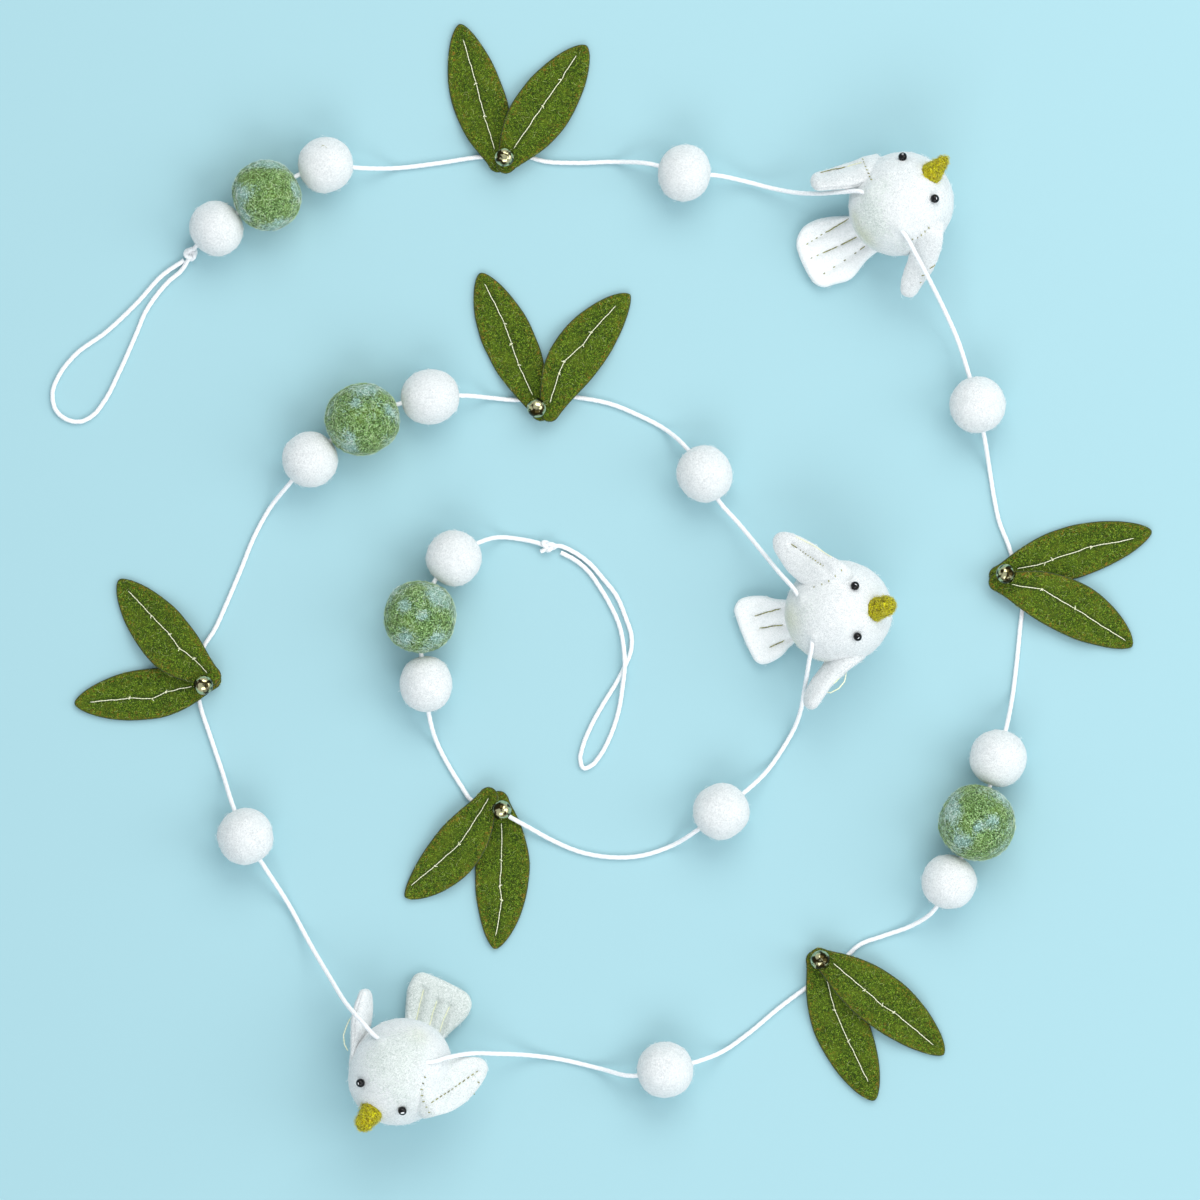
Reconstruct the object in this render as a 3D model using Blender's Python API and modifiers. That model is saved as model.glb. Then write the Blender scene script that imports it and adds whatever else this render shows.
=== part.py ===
"""Felt bird garland: felted wool balls, felt leaf pairs and three felted birds on one cord.

The garland lies in an open spiral on the plane z = 0, seen from above as x to the right and
y up. The origin is under the middle of everything that is threaded on the cord. Layout
tables are in millimetres and are turned into metres by MM.
"""

import math

import bmesh
import bpy
from mathutils import Matrix, Vector

MM = 0.001

# Driving sizes, millimetres
GAP = 0.35                 # room left between two pieces that touch
CORD_DIAMETER = 1.8
CHANNEL_DIAMETER = 2.7     # hole that the cord takes through a ball, a body or a knot
CORD_SIDES_RESOLUTION = 2
CORD_MOST_TURN = math.radians(17.0)
CORD_MOST_STEP = 26.0
CORD_REST = 0.95           # height of the cord's middle where it lies on the surface
FELT_THICKNESS = 2.0
BEAD_RADIUS = 3.9
EYE_RADIUS = 1.75
BEAK_LENGTH_INSIDE = 1.6   # stretch of a beak within the body's outline, before it is seated
BEAK_STEPS = 10
TAIL_THICKNESS = 5.0
TAIL_CHANNEL_DEPTH = 1.7

BALL_SEGMENTS = 12
BALL_RINGS = 10
BODY_SEGMENTS = 16
BODY_RINGS = 12
KNOT_SEGMENTS = 10
KNOT_RINGS = 8
BEAD_SEGMENTS = 10
BEAD_RINGS = 8
EYE_SEGMENTS = 8
EYE_RINGS = 6
WING_SEGMENTS = 10
WING_RINGS = 9
WING_ROOT_INSIDE = 3.0     # how much longer a wing is, before it is seated, than its table says
WING_NARROWING = 0.22      # how much narrower than its middle a wing would be at its very tip

# Balls: node, x, y, radius along the cord, radius across it, heading of the cord in degrees
BALLS = (
    ("white_ball_01", -155.0, 136.8, 10.3, 10.9, 37),
    ("green_ball_1", -135.3, 149.7, 13.0, 13.8, 30),
    ("white_ball_02", -112.3, 161.7, 10.8, 10.9, 11),
    ("white_ball_03", 28.1, 158.5, 10.3, 11.2, -10),
    ("white_ball_04", 142.9, 67.8, 11.0, 11.0, -74),
    ("white_ball_05", 151.0, -70.5, 11.1, 11.2, -109),
    ("green_ball_2", 142.5, -95.7, 14.6, 14.9, -112),
    ("white_ball_06", 131.7, -118.9, 10.6, 10.8, -115),
    ("white_ball_07", 20.6, -192.5, 11.0, 11.0, -166),
    ("white_ball_08", -143.7, -101.1, 11.0, 11.0, 118),
    ("white_ball_09", -118.4, 46.4, 10.8, 10.9, 42),
    ("green_ball_3", -97.9, 62.1, 14.5, 13.9, 28),
    ("white_ball_10", -71.4, 70.9, 11.5, 10.8, 10),
    ("white_ball_11", 36.1, 40.8, 11.2, 10.7, -59),
    ("white_ball_12", 42.5, -91.3, 11.0, 11.0, -145),
    ("white_ball_13", -73.0, -41.5, 11.0, 10.3, 96),
    ("green_ball_4", -75.3, -15.2, 14.0, 14.0, 78),
    ("white_ball_14", -62.1, 7.8, 10.8, 10.9, 46),
)

# Bird bodies: node, x, y, heading of the beak in degrees, half length, half width, half height
BODIES = (
    ("bird_1_body", 112.7, 146.2, 37, 21.4, 20.4, 20.0),
    ("bird_2_body", 88.4, -13.3, 10, 21.5, 20.7, 20.0),
    ("bird_3_body", -82.9, -192.9, -125, 22.0, 20.4, 20.0),
)

# Eyes: node, body, x, y
EYES = (
    ("bird_1_eye_left", "bird_1_body", 113.2, 164.3),
    ("bird_1_eye_right", "bird_1_body", 125.6, 147.9),
    ("bird_2_eye_left", "bird_2_body", 94.5, -3.1),
    ("bird_2_eye_right", "bird_2_body", 95.5, -22.9),
    ("bird_3_eye_left", "bird_3_body", -82.0, -207.8),
    ("bird_3_eye_right", "bird_3_body", -98.3, -197.0),
)

# Beaks: node, body, x and y of the base, x, y and z of the tip, base radius
BEAKS = (
    ("bird_1_beak", "bird_1_body", 124.9, 158.5, 130.7, 165.4, 36.0, 5.4),
    ("bird_2_beak", "bird_2_body", 104.1, -11.8, 111.0, -9.6, 39.4, 5.0),
    ("bird_3_beak", "bird_3_body", -94.3, -207.8, -99.0, -215.2, 33.6, 5.0),
)

# Beak profile from tip to base: share of the base radius, share of the length
BEAK_PROFILE = ((0.0, 1.0), (0.24, 0.96), (0.5, 0.84), (0.72, 0.64), (0.9, 0.38), (1.0, 0.0),
                (0.0, 0.0))

# Wings: node, body, root x, y, z, tip x, y, z, breadth, thickness, tilt of the face in degrees
WINGS = (
    ("bird_1_wing_left", "bird_1_body", 99.5, 158.6, 24.0, 78.0, 155.4, 21.0, 15.0, 6.0, 62),
    ("bird_1_wing_right", "bird_1_body", 121.0, 134.5, 29.0, 115.0, 109.8, 17.0, 14.5, 5.5, 8),
    ("bird_2_wing_left", "bird_2_body", 86.0, 1.0, 31.0, 63.6, 16.8, 23.0, 17.0, 5.5, -12),
    ("bird_2_wing_right", "bird_2_body", 91.0, -32.0, 24.0, 76.2, -51.0, 20.5, 14.0, 6.0, 74),
    ("bird_3_wing_left", "bird_3_body", -72.5, -201.0, 27.0, -49.2, -189.8, 18.0, 17.5, 5.5, 10),
    ("bird_3_wing_right", "bird_3_body", -99.6, -185.0, 17.5, -96.6, -160.6, 15.0, 14.0, 6.4, 70),
)

# Tails: node, body, root x and y under the body, tip x and y, width at root and at tip
TAILS = (
    ("bird_1_tail", "bird_1_body", 103.6, 136.5, 73.8, 123.6, 15.0, 25.0),
    ("bird_2_tail", "bird_2_body", 76.0, -14.8, 49.2, -22.6, 13.0, 24.5),
    ("bird_3_tail", "bird_3_body", -77.2, -184.0, -64.0, -156.6, 13.0, 24.5),
)
TAIL_ROOT_LIFT = 4.5
TAIL_REST_SHARE = 0.6        # share of the length from which the tail lies on the surface
TAIL_END_ARC = 0.1           # how far the corners of the end are drawn back, share of the length
TAIL_EDGE_SHARE = 0.94       # how far down the crown of a section runs at its edges
TAIL_TOP_POINTS = 9
TAIL_CHANNEL_POINTS = (2, 4, 6)
# Tail sections from root to end: share of the length, of the width there, of the thickness
TAIL_SECTIONS = ((0.0, 1.0, 0.85), (0.25, 1.0, 1.0), (0.5, 1.0, 1.0), (0.75, 1.0, 0.95),
                 (0.92, 0.9, 0.8), (1.0, 0.62, 0.5))

# Leaves: node, x and y of the base, x and y of the tip, width, sideways bow (to the left of
# base to tip), height of the base, height where the leaf lies on its partner, and how far
# along the leaf that height is kept
LEAVES = (
    ("leaf_1_left", -43.9, 159.0, -59.9, 217.2, 20.8, 0.0, 2.2, 0.0, 0.0),
    ("leaf_1_right", -43.9, 159.0, -10.2, 208.8, 21.8, 0.8, 4.55, 2.4, 31.0),
    ("leaf_2_left", 147.6, 0.0, 211.4, 18.4, 20.0, 0.4, 2.2, 0.0, 0.0),
    ("leaf_2_right", 147.6, 0.0, 203.8, -26.8, 21.0, 3.2, 4.55, 2.4, 41.0),
    ("leaf_3_left", 78.0, -146.2, 129.9, -186.8, 20.6, 1.0, 4.55, 2.4, 44.0),
    ("leaf_3_right", 78.0, -146.2, 102.7, -204.8, 20.6, -0.8, 2.2, 0.0, 0.0),
    ("leaf_4_left", -153.3, -39.2, -210.9, -49.2, 19.6, 1.2, 2.2, 0.0, 0.0),
    ("leaf_4_right", -154.4, -41.0, -193.5, -0.6, 21.0, 2.6, 4.55, 2.4, 31.0),
    ("leaf_5_left", -26.6, 61.8, -51.9, 119.6, 20.4, 0.2, 2.2, 0.0, 0.0),
    ("leaf_5_right", -26.6, 61.8, 6.8, 111.3, 20.8, 4.2, 4.55, 2.4, 31.0),
    ("leaf_6_left", -46.3, -82.7, -81.3, -125.2, 20.4, 3.2, 4.5, 2.4, 38.0),
    ("leaf_6_right", -44.4, -83.4, -46.1, -145.4, 21.2, 3.0, 0.0, 0.0, 0.0),
)
LEAF_STATIONS = (0.0, 0.05, 0.14, 0.25, 0.38, 0.52, 0.66, 0.79, 0.9, 0.965, 1.0)
LEAF_ENDS = (0.03, 0.985)   # shares of the length past which the width stays as it is there
LEAF_BASE_FULLNESS = 0.65
LEAF_TIP_FULLNESS = 0.75
LEAF_BASE_STEPS = {"lower": (15.0, 27.0), "upper": (21.0, 32.0)}
LEAF_TIP_FALL = 13.0

# Beads: node, x, y, upper leaf that carries it, and how far it settles past that leaf's edge
BEADS = (
    ("bead_1", -42.3, 164.9, "leaf_1_right", 0.0),
    ("bead_2", 154.0, 1.6, "leaf_2_right", 0.0),
    ("bead_3", 81.4, -149.6, "leaf_3_left", 0.0),
    ("bead_4", -160.2, -41.8, "leaf_4_right", 0.1),
    ("bead_5", -29.6, 66.7, "leaf_5_right", 0.25),
    ("bead_6", -43.5, -90.9, "leaf_6_left", 0.6),
)

# Knots: node, x, y, half length, half width, half height, heading in degrees
KNOTS = (
    ("knot_outer", -165.3, 127.0, 3.0, 2.8, 2.6, 45),
    ("knot_inner", -25.1, 12.5, 3.6, 2.5, 2.3, -18),
)

# The cord's route from the outer loop's short end to the inner loop's. A name stands for the
# middle of that ball or knot, and a point is x, y and z.
OUTER_LOOP = (
    (-167.9, 124.5, 1.3), (-175.8, 119.2, 0.95), (-186.4, 107.8, 0.95), (-198.5, 96.4, 0.95),
    (-210.9, 87.2, 0.95), (-216.6, 80.0, 0.95), (-219.5, 72.5, 0.95), (-218.1, 65.7, 0.95),
    (-213.8, 62.1, 0.95), (-208.6, 61.3, 0.95), (-203.6, 63.8, 0.95), (-199.2, 69.3, 0.95),
    (-193.3, 80.8, 0.95), (-186.4, 96.4, 0.95), (-183.2, 104.0, 0.95), (-179.0, 110.4, 0.95),
    (-173.7, 116.5, 0.95), (-169.0, 120.5, 1.2), (-166.9, 123.6, 1.9),
)
STRUNG = (
    "knot_outer", "white_ball_01", "green_ball_1", "white_ball_02",
    (-98.6, 160.5, 8.6), (-84.0, 160.7, 1.2), (-67.6, 162.7, 0.95), (-51.9, 165.0, 0.95),
    (-42.5, 165.5, 0.95), (-33.5, 165.2, 0.95), (-27.5, 163.5, 0.95), (-14.7, 162.7, 0.95),
    (0.5, 163.1, 1.2), (14.5, 162.2, 8.6),
    "white_ball_03",
    (41.8, 157.5, 8.4), (52.0, 155.4, 4.0), (62.0, 152.8, 5.0), (71.4, 150.9, 10.5),
    (80.9, 150.3, 18.5), (90.0, 150.7, 26.6), (97.2, 150.6, 31.6), (105.2, 142.9, 32.0),
    (113.8, 134.0, 35.6), (118.4, 126.0, 32.4), (123.5, 116.8, 26.0), (129.8, 104.8, 15.5),
    (135.6, 92.0, 8.4), (139.4, 80.0, 9.2),
    "white_ball_04",
    (145.6, 55.0, 8.6), (147.7, 43.0, 1.4), (149.7, 30.6, 0.95), (151.4, 22.6, 0.95),
    (155.6, 11.6, 0.95), (158.4, 0.6, 0.95), (160.6, -9.8, 0.95), (159.7, -20.0, 0.95),
    (158.1, -35.9, 0.95), (156.8, -46.0, 1.4), (154.4, -57.6, 8.6),
    "white_ball_05", "green_ball_2", "white_ball_06",
    (125.4, -130.6, 8.2), (116.8, -136.4, 2.4), (106.0, -140.3, 0.95), (96.6, -143.9, 0.95),
    (90.8, -149.2, 0.95), (84.6, -154.6, 0.95), (76.6, -160.1, 0.95), (66.0, -167.9, 0.95),
    (52.6, -179.0, 0.95), (44.6, -184.7, 1.8), (33.2, -189.3, 8.6),
    "white_ball_07",
    (7.6, -194.9, 8.6), (-4.9, -192.2, 2.2), (-20.6, -188.6, 0.95), (-33.5, -186.9, 3.4),
    (-45.1, -186.2, 11.0), (-56.6, -185.9, 22.2), (-64.8, -187.2, 30.6), (-71.5, -188.8, 35.4),
    (-82.0, -185.0, 32.4), (-92.3, -179.0, 31.4), (-97.6, -173.4, 28.6), (-103.6, -166.8, 22.6),
    (-110.7, -156.0, 12.6), (-118.4, -143.4, 4.4), (-126.5, -128.6, 2.0), (-136.4, -112.8, 8.4),
    "white_ball_08",
    (-148.8, -88.6, 8.6), (-152.8, -76.4, 1.4), (-158.2, -60.4, 0.95), (-161.4, -50.6, 0.95),
    (-163.2, -38.0, 0.95), (-160.4, -27.2, 0.95), (-156.2, -20.6, 0.95), (-151.3, -10.0, 0.95),
    (-146.0, 2.5, 0.95), (-140.1, 16.9, 0.95), (-134.6, 26.9, 1.4), (-126.6, 36.8, 8.4),
    "white_ball_09", "green_ball_3", "white_ball_10",
    (-57.6, 71.4, 8.4), (-47.6, 70.6, 1.4), (-38.1, 69.8, 0.95), (-30.4, 70.6, 0.95),
    (-21.9, 71.6, 0.95), (-12.5, 70.6, 0.95), (-0.6, 68.2, 0.95), (10.2, 63.8, 0.95),
    (20.0, 58.7, 1.4), (29.0, 50.9, 8.2),
    "white_ball_11",
    (42.1, 29.6, 8.0), (48.6, 22.3, 6.6), (57.8, 11.2, 13.8), (65.4, 1.8, 23.6),
    (71.9, -6.0, 29.8), (76.2, -15.4, 29.6), (77.8, -25.5, 32.0), (76.7, -32.6, 27.0),
    (75.8, -38.8, 19.8), (74.9, -44.6, 12.6), (73.8, -51.4, 7.0), (71.8, -57.6, 3.0),
    (67.0, -66.4, 1.2), (60.6, -75.5, 2.6), (51.6, -84.0, 8.4),
    "white_ball_12",
    (32.2, -99.4, 8.4), (22.5, -105.2, 1.4), (10.8, -108.9, 0.95), (-1.0, -109.4, 0.95),
    (-12.8, -107.3, 0.95), (-24.0, -102.6, 1.4), (-33.0, -97.6, 3.0), (-38.4, -94.6, 3.4),
    (-43.8, -91.6, 3.4), (-50.0, -89.4, 3.2), (-55.2, -87.2, 1.6), (-59.2, -81.6, 0.95),
    (-63.9, -74.1, 0.95), (-68.6, -65.0, 1.4), (-71.6, -54.8, 8.2),
    "white_ball_13", "green_ball_4", "white_ball_14",
    (-51.0, 14.4, 8.0), (-43.3, 16.0, 1.6), (-36.0, 15.2, 0.95), (-30.4, 14.1, 1.6),
    "knot_inner",
)
INNER_LOOP = (
    (-20.8, 12.6, 1.2), (-15.3, 10.3, 0.95), (-8.8, 5.6, 0.95), (-3.7, -0.2, 0.95),
    (1.4, -6.7, 0.95), (5.1, -15.3, 0.95), (7.5, -23.4, 0.95), (7.2, -28.5, 0.95),
    (5.0, -34.2, 0.95), (2.0, -40.2, 0.95), (-3.7, -49.4, 0.95), (-8.8, -58.8, 0.95),
    (-11.7, -66.1, 0.95), (-12.6, -71.4, 0.95), (-11.4, -74.6, 0.95), (-8.4, -73.6, 0.95),
    (-4.9, -69.6, 0.95), (-0.8, -61.8, 0.95), (2.5, -51.6, 1.1), (4.0, -42.0, 2.6),
    (4.8, -34.4, 3.15), (4.4, -27.4, 2.7), (2.8, -19.0, 1.1), (-1.4, -9.6, 0.95),
    (-5.4, -3.0, 0.95), (-8.6, 1.6, 0.95), (-11.4, 4.5, 0.95), (-15.6, 7.6, 0.95),
    (-20.3, 10.0, 1.2),
)

# Colour, roughness and metallic value of each finish
FINISHES = {
    "white_felt": ((0.88, 0.88, 0.87), 0.95, 0.0),
    "green_felt": ((0.10, 0.16, 0.03), 0.95, 0.0),
    "marbled_green_felt": ((0.22, 0.34, 0.12), 0.95, 0.0),
    "mustard_felt": ((0.50, 0.42, 0.02), 0.95, 0.0),
    "white_cord": ((0.90, 0.90, 0.89), 0.6, 0.0),
    "brass": ((0.60, 0.48, 0.20), 0.2, 1.0),
    "black_bead": ((0.01, 0.01, 0.012), 0.1, 0.0),
}


def clear_scene():
    """Remove whatever the scene holds."""
    for held in list(bpy.data.objects):
        bpy.data.objects.remove(held, do_unlink=True)


def new_collection(name):
    """A collection linked to the scene."""
    collection = bpy.data.collections.new(name)
    bpy.context.scene.collection.children.link(collection)
    return collection


def finish_material(node, finish):
    """A Principled material of the node's own."""
    colour, roughness, metallic = FINISHES[finish]
    material = bpy.data.materials.new(f"{node}_{finish}")
    material.use_nodes = True
    shader = material.node_tree.nodes["Principled BSDF"]
    shader.inputs["Base Color"].default_value = (*colour, 1.0)
    shader.inputs["Roughness"].default_value = roughness
    shader.inputs["Metallic"].default_value = metallic
    material.diffuse_color = (*colour, 1.0)
    return material


def mesh_object(node, shape, collection, finish=None, smooth=True):
    """An object made from a bmesh, linked to a collection."""
    mesh = bpy.data.meshes.new(node)
    shape.to_mesh(mesh)
    shape.free()
    if smooth:
        mesh.shade_smooth()
        mesh.set_sharp_from_angle(angle=math.radians(50))
    made = bpy.data.objects.new(node, mesh)
    collection.objects.link(made)
    if finish:
        mesh.materials.append(finish_material(node, finish))
    return made


def cutter_object(node, shape, collection):
    """A hidden helper that Boolean modifiers take away."""
    made = mesh_object(node, shape, collection, smooth=False)
    made.hide_render = True
    made.display_type = "WIRE"
    return made


def take_away(made, cutter):
    """Cut a helper's shape out of an object."""
    cut = made.modifiers.new(f"cut_{cutter.name}", "BOOLEAN")
    cut.operation = "DIFFERENCE"
    cut.solver = "EXACT"
    cut.object = cutter


def flattened_sphere(half_length, half_width, half_height, segments, rings, grow=0.0):
    """A sphere drawn out on three axes, its lowest ring and pole level, in millimetres.

    Its middle is at the origin. The growth adds the same to every half size.
    """
    shape = bmesh.new()
    bmesh.ops.create_uvsphere(shape, u_segments=segments, v_segments=rings, radius=1.0)
    lowest_ring = -math.cos(math.pi / rings)
    for vert in shape.verts:
        level = max(vert.co.z, lowest_ring)
        vert.co = Vector((
            vert.co.x * (half_length + grow),
            vert.co.y * (half_width + grow),
            level * (half_height + grow),
        ))
    return shape


def rest_height(half_height, rings):
    """Height of a flattened sphere's middle when its flat spot is on the surface."""
    return half_height * math.cos(math.pi / rings)


def placed(shape, x, y, z, heading=0.0):
    """Turn a shape made in millimetres, move it to its place and change it to metres."""
    turn = Matrix.Rotation(math.radians(heading), 4, "Z")
    shape.transform(Matrix.Scale(MM, 4) @ Matrix.Translation((x, y, z)) @ turn)
    return shape


def route_points():
    """The cord's route as points, and the numbers of the first and last strung point."""
    middles = {name: Vector((x, y, rest_height(across, BALL_RINGS)))
               for name, x, y, along, across, heading in BALLS}
    middles.update({name: Vector((x, y, rest_height(half_height, KNOT_RINGS)))
                    for name, x, y, _, _, half_height, _ in KNOTS})
    route = [*OUTER_LOOP, *STRUNG, *INNER_LOOP]
    points = [middles[stop] if isinstance(stop, str) else Vector(stop) for stop in route]
    return points, len(OUTER_LOOP), len(OUTER_LOOP) + len(STRUNG) - 1


def slopes_along(points):
    """The smooth curve's direction at each point, weighted by the nearer neighbour."""
    steps = [(b - a).length for a, b in zip(points, points[1:])]
    runs = [(b - a) / step for a, b, step in zip(points, points[1:], steps)]
    slopes = [runs[0]]
    for i in range(1, len(runs)):
        whole = steps[i - 1] + steps[i]
        slopes.append((runs[i - 1] * steps[i] + runs[i] * steps[i - 1]) / whole)
    return [*slopes, runs[-1]]


def point_on_span(start, end, slope_start, slope_end, share):
    """A point of the cubic between two route points."""
    step = (end - start).length
    a, b = share, 1.0 - share
    return (start * (b * b * (1 + 2 * a)) + end * (a * a * (1 + 2 * b))
            + slope_start * (step * a * b * b) - slope_end * (step * a * a * b))


def pieces_of_span(start, end, slope_start, slope_end):
    """How many straight pieces stand for the curve between two route points."""
    looks = [point_on_span(start, end, slope_start, slope_end, i / 8) for i in range(9)]
    runs = [b - a for a, b in zip(looks, looks[1:])]
    turn = sum(a.angle(b) for a, b in zip(runs, runs[1:]))
    return max(1, math.ceil(turn / CORD_MOST_TURN),
               math.ceil((end - start).length / CORD_MOST_STEP))


def smooth_route(points):
    """Points read from a smooth curve through the route's points, none under the surface."""
    slopes = slopes_along(points)
    smooth = [points[0]]
    for start, end, slope_start, slope_end in zip(points, points[1:], slopes, slopes[1:]):
        count = pieces_of_span(start, end, slope_start, slope_end)
        for i in range(1, count + 1):
            smooth.append(point_on_span(start, end, slope_start, slope_end, i / count))
    for point in smooth:
        point.z = max(point.z, CORD_REST)
    return smooth


def tube(node, points, diameter, collection):
    """A round curve object along points in millimetres."""
    curve = bpy.data.curves.new(node, "CURVE")
    curve.dimensions = "3D"
    curve.bevel_depth = diameter / 2 * MM
    curve.bevel_resolution = CORD_SIDES_RESOLUTION
    curve.use_fill_caps = True
    curve.twist_mode = "MINIMUM"
    line = curve.splines.new("POLY")
    line.points.add(len(points) - 1)
    for target, point in zip(line.points, points):
        target.co = (*(point * MM), 1.0)
    made = bpy.data.objects.new(node, curve)
    collection.objects.link(made)
    return made


def tube_cutter(node, points, diameter, collection):
    """The mesh of a tube, its caps joined on, as a hidden helper."""
    guide = tube(f"{node}_guide", points, diameter, collection)
    evaluated = guide.evaluated_get(bpy.context.evaluated_depsgraph_get())
    shape = bmesh.new()
    shape.from_mesh(bpy.data.meshes.new_from_object(evaluated))
    bmesh.ops.remove_doubles(shape, verts=shape.verts, dist=1e-6)
    bpy.data.objects.remove(guide, do_unlink=True)
    return cutter_object(node, shape, collection)


def build_cord(parts, cutters):
    """The one cord, and the channel that it takes through what is strung on it."""
    points, first, last = route_points()
    cord = tube("cord", smooth_route(points), CORD_DIAMETER, parts)
    cord.data.materials.append(finish_material("cord", "white_cord"))
    strung = points[first - 1:last + 2]
    return tube_cutter("cord_channel", smooth_route(strung), CHANNEL_DIAMETER, cutters)


def build_balls(parts, channel):
    """Felted wool balls with a flat spot, bored for the cord."""
    for node, x, y, along, across, heading in BALLS:
        shape = flattened_sphere(along, across, across, BALL_SEGMENTS, BALL_RINGS)
        placed(shape, x, y, rest_height(across, BALL_RINGS), heading)
        finish = "marbled_green_felt" if node.startswith("green") else "white_felt"
        take_away(mesh_object(node, shape, parts, finish), channel)


def build_knots(parts, channel):
    """The outer shape of each loop's overhand knot."""
    for node, x, y, half_length, half_width, half_height, heading in KNOTS:
        shape = flattened_sphere(half_length, half_width, half_height, KNOT_SEGMENTS, KNOT_RINGS)
        placed(shape, x, y, rest_height(half_height, KNOT_RINGS), heading)
        take_away(mesh_object(node, shape, parts, "white_cord"), channel)


def build_bodies(parts, cutters, channel):
    """Bird bodies, and for each a slightly larger helper that seats what is sewn to it."""
    seats = {}
    for node, x, y, heading, *half_sizes in BODIES:
        height = rest_height(half_sizes[2], BODY_RINGS)
        shape = flattened_sphere(*half_sizes, BODY_SEGMENTS, BODY_RINGS)
        body = mesh_object(node, placed(shape, x, y, height, heading), parts, "white_felt")
        take_away(body, channel)
        grown = flattened_sphere(*half_sizes, BODY_SEGMENTS, BODY_RINGS, grow=GAP)
        seats[node] = cutter_object(f"{node}_seat", placed(grown, x, y, height, heading), cutters)
    return seats


def surface_point(body, x, y):
    """The place and the outward direction of a body's upper surface over x and y."""
    _, middle_x, middle_y, heading, *half_sizes = next(row for row in BODIES if row[0] == body)
    turn = Matrix.Rotation(math.radians(heading), 3, "Z")
    local = turn.inverted() @ Vector((x - middle_x, y - middle_y, 0.0))
    reach = (local.x / half_sizes[0]) ** 2 + (local.y / half_sizes[1]) ** 2
    local.z = half_sizes[2] * math.sqrt(max(0.0, 1.0 - reach))
    outward = Vector([value / half ** 2 for value, half in zip(local, half_sizes)]).normalized()
    middle = Vector((middle_x, middle_y, rest_height(half_sizes[2], BODY_RINGS)))
    return middle + turn @ local, turn @ outward


def build_eyes(parts, seats):
    """Black beads sunk into the felt to their widest line."""
    for node, body, x, y in EYES:
        place, outward = surface_point(body, x, y)
        shape = bmesh.new()
        bmesh.ops.create_uvsphere(shape, u_segments=EYE_SEGMENTS, v_segments=EYE_RINGS,
                                  radius=EYE_RADIUS)
        turn = outward.to_track_quat("Z", "Y").to_matrix().to_4x4()
        shape.transform(Matrix.Scale(MM, 4) @ Matrix.Translation(place) @ turn)
        take_away(mesh_object(node, shape, parts, "black_bead"), seats[body])


def build_beaks(parts, seats):
    """Beaks turned as blunt cones, their broad ends seated on the bodies."""
    for node, body, x, y, tip_x, tip_y, tip_z, base_radius in BEAKS:
        base, _ = surface_point(body, x, y)
        axis = Vector((tip_x, tip_y, tip_z)) - base
        start = base - axis.normalized() * BEAK_LENGTH_INSIDE
        reach = axis.length + BEAK_LENGTH_INSIDE
        shape = bmesh.new()
        line = [shape.verts.new((radius * base_radius * MM, 0.0, height * reach * MM))
                for radius, height in BEAK_PROFILE]
        for upper, lower in zip(line, line[1:]):
            shape.edges.new((upper, lower))
        beak = mesh_object(node, shape, parts, "mustard_felt", smooth=False)
        beak.location = start * MM
        beak.rotation_mode = "QUATERNION"
        beak.rotation_quaternion = axis.to_track_quat("Z", "Y")
        spin = beak.modifiers.new("turned", "SCREW")
        spin.axis = "Z"
        spin.steps = BEAK_STEPS
        spin.render_steps = BEAK_STEPS
        spin.use_merge_vertices = True
        spin.merge_threshold = 1e-5
        spin.use_smooth_shade = True
        take_away(beak, seats[body])


def wing_axes(root, tip, tilt):
    """Directions along a wing, across its face and through it."""
    along = (tip - root).normalized()
    level = Vector((0.0, 0.0, 1.0)).cross(along).normalized()
    turn = Matrix.Rotation(math.radians(tilt), 3, along)
    return along, turn @ level, turn @ along.cross(level)


def build_wings(parts, seats):
    """Stuffed felt wings, seated along their seams on the bodies' sides."""
    for node, body, *sizes in WINGS:
        root, tip = Vector(sizes[0:3]), Vector(sizes[3:6])
        breadth, thickness, tilt = sizes[6:]
        along, across, through = wing_axes(root, tip, tilt)
        shape = bmesh.new()
        bmesh.ops.create_uvsphere(
            shape, u_segments=WING_SEGMENTS, v_segments=WING_RINGS, radius=1.0)
        half_length = ((tip - root).length + WING_ROOT_INSIDE) / 2
        middle = tip - along * half_length
        for vert in shape.verts:
            side, up, run = vert.co
            narrowing = 1.0 - WING_NARROWING * run
            vert.co = (middle + along * (run * half_length)
                       + across * (side * breadth / 2 * narrowing)
                       + through * (up * thickness / 2 * narrowing)) * MM
        take_away(mesh_object(node, shape, parts, "white_felt"), seats[body])


def tail_section(half_width, thickness, channel_depth, lift):
    """One cross-section of a tail: lobes between channels over the top, level underneath."""
    tops = []
    for i in range(TAIL_TOP_POINTS):
        across = 2.0 * i / (TAIL_TOP_POINTS - 1) - 1.0
        crown = math.sqrt(1.0 - (TAIL_EDGE_SHARE * across) ** 4)
        height = lift + thickness * crown
        if i in TAIL_CHANNEL_POINTS:
            height -= channel_depth
        tops.append((across * half_width, height))
    return tops + [(half_width * side, lift) for side in (0.86, 0.0, -0.86)]


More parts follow.
